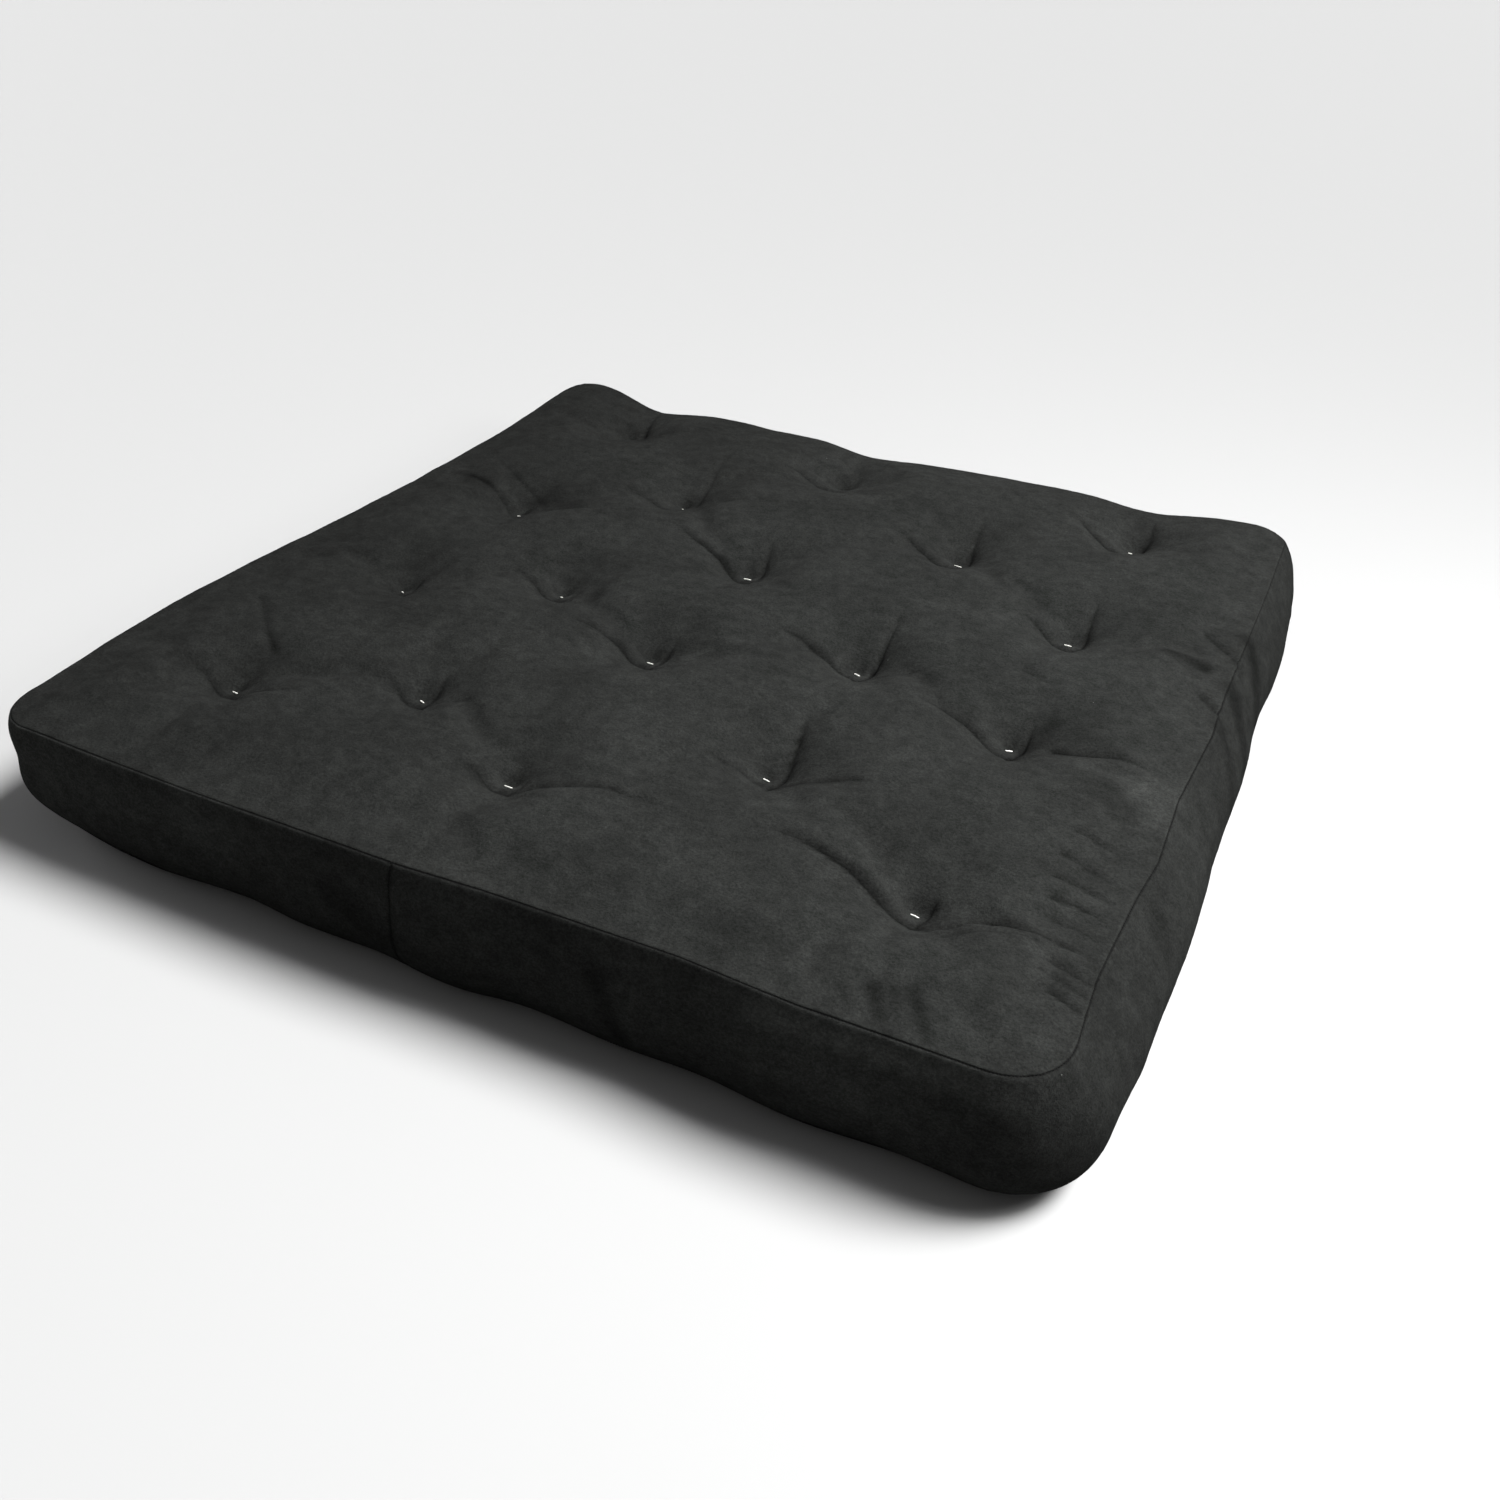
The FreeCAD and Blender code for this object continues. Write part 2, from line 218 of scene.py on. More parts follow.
def meet_tufts(x, y):
    """Moves the grid a little, so that a vertex that the fill keeps lies on each tuft."""
    keys = np.array(FILL_GRID)
    moved = np.stack([x, y], axis=1)
    chosen = []
    for place in TUFTS:
        nearest = keys[np.argmin(np.linalg.norm(moved[keys] - place, axis=1))]
        chosen.append(nearest)
        offset = place - moved[nearest]
        reach = np.linalg.norm(moved - moved[nearest], axis=1)
        moved = moved + offset * np.exp(-(reach / GRID_GIVE) ** 2)[:, None]
    return moved[:, 0], moved[:, 1], chosen


plan_x, plan_y = rounded(flat_x, flat_y, panel_x, panel_y, SEAM_RADIUS)
plan_x, plan_y, TUFT_VERTICES = meet_tufts(plan_x, plan_y)


def smooth(low, high, value):
    """Turns smoothly from 0 at low to 1 at high."""
    t = np.clip((value - low) / (high - low), 0, 1)
    return t * t * (3 - 2 * t)


# ---------------- the cloth before it is inflated


def edge_gap(x, y):
    """How far a plan point lies inside the panel's seam."""
    return np.minimum(panel_x - np.abs(x), panel_y - np.abs(y))


def lean(x, y, share):
    """Moves the edges in and out, where the fill has moved.

    share runs from 0 at the top seam to 1 at the bottom seam.
    """
    at_top = smooth(TOP_LEAN_END, 0, share)
    at_base = smooth(BASE_LEAN_START, 1, share)
    at_bulge = 1 - at_top - at_base
    to_right, to_back = x / HALF_X, y / HALF_Y
    sides = {
        "front": (smooth(*SIDE_SHARES, -to_back), x),
        "right": (smooth(*SIDE_SHARES, to_right), y),
        "back": (smooth(*SIDE_SHARES, to_back), x),
        "left": (smooth(*SIDE_SHARES, -to_right), y),
    }
    reach = {
        side: at_top * weight * np.interp(place, *zip(*SEAM_REACH[side]))
        for side, (weight, place) in sides.items()
    }
    wave = WAVE * np.sin(9 * x + 2) + WAVE * np.sin(21 * x + 1) + WAVE * np.sin(13 * y + 1)
    loose = wave * (at_bulge + at_base)  # below the top seam the cloth is slack
    full_right = np.interp(y, *zip(*RIGHT_BULGE)) * at_bulge
    slack_back = BACK_SLACK * smooth(-0.25, 0.25, x) * at_bulge
    out_x = reach["left"] + reach["right"] + sides["right"][0] * full_right
    out_x = out_x + (sides["left"][0] + sides["right"][0]) * loose
    out_y = reach["front"] + reach["back"] + sides["back"][0] * slack_back
    out_y = out_y + (sides["front"][0] + sides["back"][0]) * loose
    for (sign_x, sign_y), reaches in CORNER_REACH.items():
        here = smooth(*CORNER_SHARES, sign_x * to_right)
        here = here * smooth(*CORNER_SHARES, sign_y * to_back)
        for level, (reach_x, reach_y) in zip((at_top, at_bulge, at_base), reaches):
            out_x = out_x + here * level * reach_x
            out_y = out_y + here * level * reach_y
    return x + np.sign(x) * out_x, y + np.sign(y) * out_y


def slack_top():
    """The top panel laid over the core, with a small hollow at each tuft."""
    gap = edge_gap(flat_x, flat_y)
    puff_x, puff_y, puff, wide = PUFFED_CORNER
    full = puff * np.exp(-((plan_x - puff_x) ** 2 + (plan_y - puff_y) ** 2) / wide**2)
    z = SEAM_LEVEL + (CROWN - SEAM_LEVEL) * smooth(0, SHOULDER, gap) + full
    hollow = np.zeros_like(z)
    for place in TUFTS:
        reach = np.hypot(plan_x - place[0], plan_y - place[1])
        hollow = np.maximum(hollow, TUFT_DEPTH * np.exp(-reach / HOLLOW_REACH))
        if place[1] > BACK_DIP_FROM:
            beside = np.exp(-(((plan_x - place[0]) / BACK_DIP_WIDTH) ** 2))
            z = z - BACK_DIP * beside * smooth(BACK_DIP_FROM, BACK_DIP_TO, plan_y)
    leaned_x, leaned_y = lean(plan_x, plan_y, 0)
    held = smooth(0, LEAN_REACH, gap)
    x = leaned_x + (plan_x - leaned_x) * held
    y = leaned_y + (plan_y - leaned_y) * held
    return np.stack([x, y, z - hollow], axis=1)


def boxing_ring(share):
    """One ring of the boxing; share runs from 0 at the top seam to 1 at the bottom seam."""
    tuck_in = max(0, 1 - share / BULGE_SHARE) ** 1.7
    tuck_under = BASE_INSET * max(0, (share - TUCK_SHARE) / TUCK_SPAN) ** 2
    half_x, half_y = np.array([HALF_X, HALF_Y]) - SEAM_INSET * tuck_in - tuck_under
    radius = BULGE_RADIUS + (SEAM_RADIUS - BULGE_RADIUS) * tuck_in
    x, y = rounded(
        flat_x[RIM] * half_x / panel_x, flat_y[RIM] * half_y / panel_y, half_x, half_y, radius
    )
    x, y = lean(x, y, share)
    z = SLACK_TOP[RIM, 2] * (1 - share) + BASE_LEVEL * share
    return np.stack([x, y, z], axis=1)


def boxing_shares():
    """The share of each ring, with a narrow row beside each seam."""
    edge = SEAM_ROW / (SEAM_LEVEL - BASE_LEVEL)
    return [0, *np.linspace(edge, 1 - edge, BOXING_ROWS), 1]


def grid_faces(columns, rows):
    """The faces of a grid of points that are numbered row by row."""
    firsts = [row * columns + column for row in range(rows - 1) for column in range(columns - 1)]
    return [(k, k + 1, k + columns + 1, k + columns) for k in firsts]


def wall_faces(rings):
    """The faces between each closed ring of points and the next one below it."""
    faces = []
    for upper, lower in zip(rings, rings[1:]):
        for k in range(len(upper)):
            after = (k + 1) % len(upper)
            faces.append((upper[k], lower[k], lower[after], upper[after]))
    return faces


def mesh_object(name, points, faces):
    """A new mesh object in the scene."""
    mesh = bpy.data.meshes.new(name)
    mesh.from_pydata(np.asarray(points).tolist(), [], [tuple(map(int, f)) for f in faces])
    mesh.update()
    made = bpy.data.objects.new(name, mesh)
    bpy.context.scene.collection.objects.link(made)
    return made


def read(vertices, name):
    """The three numbers of each vertex that Blender keeps under a name."""
    found = np.empty(len(vertices) * 3)
    vertices.foreach_get(name, found)
    return found.reshape(-1, 3)


shares = boxing_shares()
SLACK_TOP = slack_top()
slack = np.concatenate([SLACK_TOP] + [boxing_ring(share) for share in shares[1:]])
RINGS = [RIM] + [
    [ring * len(RIM) + k for k in range(COLUMNS * ROWS, COLUMNS * ROWS + len(RIM))]
    for ring in range(len(shares) - 1)
]
panel_faces = grid_faces(COLUMNS, ROWS)
cloth_faces = panel_faces + wall_faces(RINGS)
cloth = mesh_object("cloth", slack, cloth_faces)


def inflate(made, holds, frames=20):
    """Fills the cloth out with air, and returns where its points end.

    holds is a list of (points, how firmly the stitching and the core hold them in place).
    """
    group = made.vertex_groups.new(name="pinned")
    for points, firmness in holds:
        group.add([int(p) for p in points], firmness, "REPLACE")
    modifier = made.modifiers.new("cloth", "CLOTH")
    settings = modifier.settings
    settings.quality = 5
    settings.mass = 0.4
    settings.tension_stiffness = 15
    settings.compression_stiffness = 15
    settings.shear_stiffness = 5
    settings.bending_stiffness = 5
    settings.air_damping = 2
    settings.use_pressure = True
    settings.uniform_pressure_force = 3
    settings.shrink_min = -0.012
    settings.vertex_group_mass = "pinned"
    settings.effector_weights.gravity = 0
    modifier.collision_settings.use_collision = False
    modifier.point_cache.frame_start = 1
    modifier.point_cache.frame_end = frames
    scene = bpy.context.scene
    for step in range(1, frames + 1):
        scene.frame_set(step)
    settled = made.evaluated_get(bpy.context.evaluated_depsgraph_get())
    found = read(settled.data.vertices, "co")
    made.modifiers.remove(modifier)
    made.vertex_groups.remove(group)
    scene.frame_set(1)
    return found


edge_rows = edge_gap(flat_x, flat_y)
sides = [point for ring in RINGS[1:-1] for point in ring]
bands = [
    (
        np.flatnonzero((edge_rows > low) & (edge_rows <= low + STEP)),
        SIDE_HOLD * (1 - low / HOLD_REACH),
    )
    for low in np.arange(0, HOLD_REACH, STEP)
]
holds = bands + [
    (sides, SIDE_HOLD),
    (RINGS[0], SEAM_HOLD),
    (TUFT_VERTICES, 1),
    (RINGS[-1], 1),
]
shape = inflate(cloth, holds)
bpy.data.objects.remove(cloth)
over = np.maximum(shape[:, 2] - CEILING, 0)
shape[:, 2] += ABOVE_CEILING * np.tanh(over / ABOVE_CEILING) - over

# ---------------- finer cloth and its seams

TOP, BOXING_LEFT, BOXING_RIGHT = range(3)
JOIN_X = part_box("boxing_join_stitching_seat")[0].x


def finer(points, faces, panels):
    """One round of subdivision; panels gives the sewn piece that each face belongs to."""
    coarse = mesh_object("coarse", points, faces)
    coarse.data.polygons.foreach_set("material_index", panels)
    for _ in range(3):
        coarse.data.materials.append(None)
    modifier = coarse.modifiers.new("finer", "SUBSURF")
    modifier.levels = 1
    fine = bpy.data.meshes.new_from_object(
        coarse.evaluated_get(bpy.context.evaluated_depsgraph_get())
    )
    bpy.data.objects.remove(coarse)
    return fine


def panel_numbers():
    """The sewn piece of each face of the simulated cloth."""
    ring = [BOXING_LEFT if shape[k][0] < JOIN_X else BOXING_RIGHT for k in RIM]
    return [TOP] * len(panel_faces) + ring * (len(RINGS) - 1)


fine = finer(shape, cloth_faces, panel_numbers())
fine_points = read(fine.vertices, "co")
fine_normals = read(fine.vertices, "normal")
fine_faces = [tuple(p.vertices) for p in fine.polygons]
fine_panels = [p.material_index for p in fine.polygons]


def seam_points(first, second):
    """The points that faces of both kinds share; each kind is a list of sewn pieces."""
    touch = [set(), set()]
    for face, panel in zip(fine_faces, fine_panels):
        if panel in first:
            touch[0].update(face)
        if panel in second:
            touch[1].update(face)
    return sorted(touch[0] & touch[1])


TOP_SEAM = seam_points([TOP], [BOXING_LEFT, BOXING_RIGHT])
JOIN_SEAM = seam_points([BOXING_LEFT], [BOXING_RIGHT])


# ---------------- creases, gathers and stitches

# how deep, in CREASE_GAINs; how wide on the steep side and on the gentle side, in mm; which side
# is gentle, 1 left of the line or -1 right; then X and Y along the line in turn, in mm
CREASES = [
    (7, 6, 32, 1, -624, -685, -666, -671, -734, -650, -777, -639),
    (5, 5, 14, 1, -624, -685, -588, -667, -544, -663, -502, -649),
    (4, 6, 20, 1, -603, -237, -663, -202, -711, -175),
    (5, 10, 28, -1, -603, -237, -615, -187, -619, -142),
    (3, 5, 20, 1, -603, -237, -554, -216, -457, -195),
    (4, 5, 24, 1, -614, 192, -689, 247, -771, 290, -842, 307, -917, 317),
    (2, 12, 30, -1, -591, 266, -681, 324, -779, 375, -874, 425),
    (6, 5, 34, 1, -640, 166, -614, 192, -539, 237, -444, 268),
    (7, 8, 20, 1, -699, 661, -687, 714, -651, 733, -596, 746, -510, 792),
    (7, 8, 24, -1, -637, 756, -663, 840, -687, 965),
    (7, 6, 36, 1, -310, -553, -340, -545, -388, -523, -430, -508),
    (6, 10, 34, -1, -310, -553, -322, -500, -327, -442),
    (4, 5, 24, 1, -310, -553, -273, -534, -213, -518),
    (7, 6, 30, 1, -307, -102, -354, -86, -418, -58, -458, -47),
    (5, 8, 20, -1, -307, -102, -303, -64, -304, -29),
    (3, 5, 24, 1, -307, -102, -259, -76, -212, -57),
    (6, 5, 26, 1, -301, 393, -363, 386, -430, 409, -467, 416),
    (7, 4, 38, 1, -364, 342, -329, 372, -253, 425, -177, 477),
    (4, 14, 30, -1, -297, 433, -313, 544, -341, 669, -341, 788),
    (7, 6, 44, 1, -16, -704, -47, -698, -97, -681, -134, -681),
    (5, 5, 14, -1, -16, -704, 30, -680, 82, -672, 151, -655, 190, -663, 279, -659),
    (4, 8, 18, -1, -16, -704, -9, -681, -3, -655),
    (7, 5, 26, 1, -17, -251, -53, -236, -107, -208, -147, -198, -184, -194, -250, -192),
    (5, 12, 36, -1, -17, -251, -12, -202, -16, -129),
    (4, 4, 22, 1, -23, -275, 18, -241, 75, -203),
    (9, 5, 34, 1, -16, 152, -56, 184, -117, 218, -189, 236, -265, 278),
    (6, 8, 24, -1, -16, 152, -15, 206, -26, 276, -44, 341),
    (5, 4, 22, 1, -30, 129, 6, 164, 67, 206),
    (6, 6, 20, 1, -28, 667, -78, 675, -157, 702, -208, 697),
    (5, 4, 22, 1, -33, 638, 3, 697, 55, 744, 148, 793),
    (5, 6, 24, 1, 348, -490, 311, -472, 284, -470, 213, -473),
    (9, 12, 44, -1, 348, -490, 356, -459, 354, -413, 343, -349, 329, -262),
    (5, 5, 40, -1, 348, -490, 399, -472, 463, -455, 551, -435),
    (7, 5, 26, 1, 341, -106, 311, -89, 285, -77, 249, -66, 199, -48, 130, -48),
    (9, 10, 34, -1, 341, -106, 347, -70, 350, -13, 347, 74, 340, 149),
    (4, 5, 30, -1, 341, -106, 399, -84, 465, -50),
    (7, 5, 28, 1, 340, 408, 314, 405, 268, 436, 207, 472, 164, 479),
    (7, 10, 30, -1, 340, 408, 353, 453, 347, 534, 332, 651),
    (4, 5, 20, 1, 340, 408, 382, 435, 436, 452),
    (9, 5, 44, 1, 688, -699, 653, -685, 615, -671, 578, -658, 533, -649, 476, -634, 423, -631,
     392, -644),
    (9, 6, 22, 1, 688, -699, 714, -703, 741, -694, 764, -675, 807, -667, 866, -668, 925, -673,
     967, -683),
    (6, 14, 30, -1, 688, -699, 698, -661, 703, -625),
    (3, 5, 10, -1, 747, -718, 795, -698, 842, -685, 900, -685),
    (8, 5, 26, 1, 674, -223, 655, -215, 622, -197, 577, -173, 527, -163, 457, -153),
    (8, 10, 36, -1, 674, -223, 683, -191, 687, -153, 686, -110),
    (6, 4, 26, 1, 674, -223, 709, -218, 745, -193),
    (7, 5, 46, -1, 738, -186, 785, -182, 835, -177, 920, -182),
    (8, 5, 26, 1, 661, 180, 633, 201, 598, 228, 562, 247, 524, 255),
    (8, 8, 26, -1, 661, 180, 674, 209, 673, 267, 668, 388),
    (8, 5, 26, 1, 648, 652, 617, 659, 583, 687, 539, 723, 501, 752),
    (6, 4, 34, 1, 648, 652, 693, 687, 797, 759),
    (6, 12, 30, -1, 661, 687, 676, 759, 669, 853),
    (4, 5, 10, 1, -818, -408, -714, -502, -660, -544, -611, -527),
    (4, 6, 20, 1, 615, 20, 660, -4, 706, -20),
    (4, 4, 12, -1, 845, -541, 887, -540, 923, -547, 956, -555),
    (4, 4, 12, -1, 856, -587, 891, -581, 922, -588, 958, -603),
    (3, 4, 10, -1, 869, -623, 909, -629, 962, -644),
    (4, 4, 10, -1, 892, -708, 931, -721, 966, -732),
    (5, 4, 10, -1, 910, -765, 938, -777, 969, -796),
    (3, 4, 10, -1, 904, -738, 935, -748, 963, -759),
    (3, 4, 9, -1, 842, -489, 898, -498, 951, -512),
    (3, 4, 9, -1, 846, -423, 894, -429, 946, -446),
    (4, 5, 14, -1, 886, 333, 949, 270, 1002, 182),
    (4, 5, 14, -1, 922, 101, 975, 45, 1024, -23),
]
CREASE_GAIN = 0.0016
CREASE_MARGIN = 0.15  # how far round a crease it is worked out
SLIDE_REACH = 0.011  # how far off its line a crease draws the cloth in
DARK_DEPTH, DARK_WIDTH = 0.010, 0.004  # the depth at which a crease's painted shade is darkest, and how wide that shade is
LIT_FRONT = 0.016  # how far in front of a stitch its hollow gets no painted shade
RIGHT_PLEAT, RIGHT_PLEAT_DEPTH = 0.021, 0.0016  # from pleat to pleat, and the most one sinks
FRONT_PLEAT, FRONT_PLEAT_DEPTH = 0.027, 0.0008
BIG_DENT, SMALL_DENT = 0.0035, 0.0015
STITCH = 0.0115  # from the middle of a stitch to each of its ends
TROUGH_SLOPE = 0.60  # how steeply the cloth rises from a stitch
TROUGH_REACH = 0.040
GROOVES = {"top": 0.0015, "join": 0.0006}  # how far each seam sinks into the cloth
LOWEST = 0.001  # the cloth ends this far above the floor


def crease_pull(points, deep, steep, gentle, side, line):
    """One crease: its depth at each point, how the point slides to its line, how far is left."""
    lengths = np.concatenate([[0], np.cumsum(np.hypot(*np.diff(line, axis=0).T))])
    depth = np.zeros(len(points))
    nearest = np.full(len(points), np.inf)
    slide = np.zeros((len(points), 2))
    for k, start in enumerate(line[:-1]):
        along = line[k + 1] - start
        size = np.hypot(*along)
        share = np.clip((points - start) @ along / size**2, 0, 1)
        away = points - start - share[:, None] * along
        far = np.hypot(*away.T)
        is_gentle = (along[0] * away[:, 1] - along[1] * away[:, 0]) * side > 0
        width = np.where(is_gentle, gentle, steep) / 1000
        fade = 1 - ((lengths[k] + share * size) / lengths[-1]) ** 2
        pull = (1 - smooth(0, SLIDE_REACH, far)) * np.minimum(1, 3 * fade)
        left = far * (1 - pull)
        depth = np.maximum(depth, CREASE_GAIN * deep * fade * np.exp(-left / width))
        closer = left < nearest
        nearest = np.where(closer, left, nearest)
        slide = np.where(closer[:, None], -away * pull[:, None], slide)
    return depth, slide, nearest


def creased(points):
    """The depth of all the creases, how the cloth slides to them, and their painted shade."""
    total = np.zeros(len(points))
    slide = np.zeros((len(points), 2))
    dark = np.zeros(len(points))
    plan = points[:, :2]
    for deep, steep, gentle, side, *line in CREASES:
        line = np.reshape(line, (-1, 2)) / 1000
        low, high = line.min(axis=0) - CREASE_MARGIN, line.max(axis=0) + CREASE_MARGIN
        near = np.flatnonzero(((plan > low) & (plan < high)).all(axis=1))
        depth, drawn, far = crease_pull(plan[near], deep, steep, gentle, side, line)
        total[near] += depth**3
        stronger = np.hypot(*drawn.T) > np.hypot(*slide[near].T)
        slide[near] = np.where(stronger[:, None], drawn, slide[near])
        # painted shade along each crease line
        dark[near] = np.maximum(dark[near], depth / DARK_DEPTH * np.exp(-far / DARK_WIDTH))
    for tuft in fine_points[TUFT_VERTICES]:
        gap = plan - tuft[:2]
        in_front = smooth(0, -0.006, gap[:, 1]) * (np.hypot(*gap.T) < LIT_FRONT)
        dark *= 1 - 0.8 * in_front
    return total ** (1 / 3), slide, dark


def seam_gathers(points):
    """Small pleats where the top panel is eased into the seam, mostly along the right side."""
    x, y = points[:, 0], points[:, 1]
    gap = panel_x - x
    drawn = np.array([noise.noise((5.0, 9 * v, 0.3)) for v in y])
    strong = smooth(-0.2, 0.35, drawn) * smooth(0.75, 0.3, y)
    phase = 2 * math.pi * (y + 0.12 * gap + 0.006 * np.sin(40 * y)) / RIGHT_PLEAT
    reach = smooth(0.11, 0.02, np.abs(gap - 0.01))
    pleats = RIGHT_PLEAT_DEPTH * strong * reach * (0.5 + 0.5 * np.sin(phase)) ** 2
    front_gap = panel_y + y
    front_phase = 2 * math.pi * (x + 0.005 * np.sin(31 * x)) / FRONT_PLEAT
    front_drawn = np.array([noise.noise((7 * v, 2.0, 0.7)) for v in x])
    front = smooth(0.1, 0.5, front_drawn) * smooth(0.07, 0.01, np.abs(front_gap))
    return pleats + FRONT_PLEAT_DEPTH * front * (0.5 + 0.5 * np.sin(front_phase))


def soft_dents(points):
    """Slow unevenness of the fill under the cloth."""
    return np.array([
        BIG_DENT * noise.noise((4.5 * x, 4.5 * y, 7 * z))
        + SMALL_DENT * noise.noise((13 * x, 13 * y, 9 * z))
        for x, y, z in points
    ])


def stitch_troughs(points, angles):
    """Presses the cloth down under each stitch, with steep sides round it."""
    for vertex, angle in zip(TUFT_VERTICES, angles):
        centre = points[vertex].copy()
        way = np.array([math.cos(angle), math.sin(angle)])
        away = points[:, :2] - centre[:2]
        along = np.clip(away @ way, -STITCH, STITCH)
        far = np.hypot(*(away - along[:, None] * way).T)
        near = (far < TROUGH_REACH) & (points[:, 2] > HEIGHT / 2)
        in_front = smooth(0.002, -0.008, away[:, 1])
        level = centre[2] + TROUGH_SLOPE * far**0.85 * (1 + 1.5 * in_front)
        points[near, 2] = np.minimum(points[near, 2], level[near])


stitch_angles = random.normal(-0.12, 0.28, len(TUFTS))
upward = smooth(0.3, 0.8, fine_normals[:, 2])
crease_depths, slides, crease_shade = creased(fine_points)
fine_points[:, :2] += slides * upward[:, None]
sink = upward * (crease_depths + seam_gathers(fine_points)) - soft_dents(fine_points)
groove = np.zeros(len(fine_points))
groove[TOP_SEAM] = GROOVES["top"]
groove[JOIN_SEAM] = GROOVES["join"]
fine_points = fine_points - fine_normals * (sink + groove)[:, None]
stitch_troughs(fine_points, stitch_angles)
fine_points[:, 2] = np.maximum(fine_points[:, 2], LOWEST)

# ---------------- how the nap lies, and the painted light and shade

# where a hand has brushed the nap the other way, and where light and shade are painted on: the
# darker marks beside the tufts, at the small folds and at the near corner are painted shade, and
# the marks lighter than 1 are painted highlights and painted light. X, Y and Z of both ends of
# the mark, its reach, all in mm, and its shade
NAP_MARKS_AND_PAINTED_LIGHT = [
    (695, -874, 236, 745, -945, 236, 12, 0.50),
    (725, -869, 236, 757, -935, 236, 7, 0.62),
    (748, -855, 236, 796, -930, 236, 11, 0.52),
    (663, -891, 236, 688, -931, 236, 9, 0.75),
    (-620, 299, 232, -524, 266, 232, 39, 0.70),
    (-667, 747, 232, -577, 715, 232, 31, 0.74),
    (-680, -677, 232, -635, -694, 232, 22, 0.78),
    (-111, -698, 232, -28, -708, 232, 23, 0.80),
    (362, -486, 232, 348, -364, 232, 21, 0.72),
    (691, -210, 232, 711, -117, 232, 24, 0.74),
    (845, -273, 232, 891, -323, 232, 36, 0.70),
    (839, 215, 232, 913, 198, 232, 19, 0.46),
    (-725, -492, 232, -649, -549, 232, 8, 0.60),
    (887, -258, 232, 969, -231, 232, 32, 1.22),
    (389, 174, 232, 517, 193, 232, 28, 1.18),
    (639, -711, 232, 674, -601, 232, 20, 0.84),
    (-244, -99, 232, -261, -33, 232, 20, 0.80),
    (845, -830, 232, 930, -760, 232, 60, 0.88),
    (175, -839, 236, 269, -763, 236, 25, 0.88),
    (448, -900, 236, 526, -871, 236, 27, 0.90),
    (300, -975, 175, 345, -975, 60, 22, 0.62),
    (-170, -975, 130, -80, -975, 80, 30, 0.70),
    (-480, -975, 150, -400, -975, 120, 35, 1.25),
    (560, -975, 160, 700, -975, 120, 45, 1.20),
    (975, 150, 215, 1010, 60, 120, 30, 0.50),
    (975, 20, 210, 1020, -60, 120, 26, 0.66),
    (970, 350, 215, 1005, 240, 120, 30, 0.58),
    (480, -975, 206, 900, -965, 206, 26, 1.80),
    (900, -960, 150, 980, -900, 60, 110, 0.72),
    (985, -500, 190, 1030, -580, 100, 26, 0.76),
    (720, -640, 230, 800, -600, 230, 50, 1.14),
    (930, -300, 230, 900, -200, 230, 40, 1.18),
    (100, -500, 230, 200, -420, 230, 60, 1.10),
    (-100, 450, 230, 50, 480, 230, 80, 0.90),
    (-20, -470, 230, -100, -400, 230, 60, 0.88),
]
# painted light and shade along X, standing in for how the light falls: on the top, darker to the
# left, and on the front boxing
TOP_PAINTED_LIGHT = [(-1.0, 0.74), (-0.5, 0.86), (0.0, 1.02), (0.5, 1.06), (1.0, 1.04)]
FRONT_PAINTED_LIGHT = [(-1.0, 1.50), (-0.5, 1.30), (-0.1, 0.95), (0.3, 0.98), (0.8, 1.25), (1.0, 1.05)]
# how much painted shade darkens each part: the cloth that faces right, the cloth near the floor,
# the creases, the top seam and the boxing join
RIGHT_PAINTED_SHADE, LOW_PAINTED_SHADE, CREASE_PAINTED_SHADE, TOP_SEAM_PAINTED_SHADE, JOIN_PAINTED_SHADE = 0.20, 0.30, 0.66, 0.50, 0.3


def nap_and_painted_shade(points):
    """How light or dark each point of the cloth is made: the nap's own tone, with painted shade
    and painted highlights.
    """
    shade = np.ones(len(points))
    for *ends, reach, tone in NAP_MARKS_AND_PAINTED_LIGHT:
        start, end = np.reshape(ends, (2, 3)) / 1000
        reach = reach / 1000
        along = end - start
        share = np.clip((points - start) @ along / np.sum(along**2), 0, 1)
        far = np.linalg.norm(points - start - share[:, None] * along, axis=1)
        shade *= 1 + (tone - 1) * np.exp(-((far / reach) ** 3))
    # painted light and shade across the top and the front boxing
    is_front = smooth(-0.4, -0.8, fine_normals[:, 1])
    front = np.interp(points[:, 0], *zip(*FRONT_PAINTED_LIGHT))
    top = np.interp(points[:, 0], *zip(*TOP_PAINTED_LIGHT))
    shade *= top + (front - top) * is_front
    # painted shade on the side facing right, towards the floor, in the creases and along the
    # seams
    shade *= 1 - RIGHT_PAINTED_SHADE * smooth(0.4, 0.8, fine_normals[:, 0])
    shade *= 1 - LOW_PAINTED_SHADE * smooth(0.17, 0.02, points[:, 2])
    shade *= 1 - CREASE_PAINTED_SHADE * np.minimum(crease_shade, 1)
    x, y = points[TOP_SEAM, 0], points[TOP_SEAM, 1]
    far_end = np.maximum(smooth(-0.1, 0.4, y), smooth(-0.2, -0.8, x))  # there the painted shade of the seam is faint
    shade[TOP_SEAM] *= 1 - TOP_SEAM_PAINTED_SHADE + 0.35 * far_end
    shade[JOIN_SEAM] *= 1 - JOIN_PAINTED_SHADE
    return shade


fine_shade = nap_and_painted_shade(fine_points)

# ---------------- the sewn pieces

ALLOWANCE = 0.010  # how far a cut edge is turned in


def both(*names):
    """The seat and back node of each name."""
    return [name + side for name in names for side in ("_seat", "_back")]


def smooth_shaded(piece):
    """The piece, with soft shading over its faces."""
    piece.data.polygons.foreach_set("use_smooth", [True] * len(piece.data.polygons))
    return piece


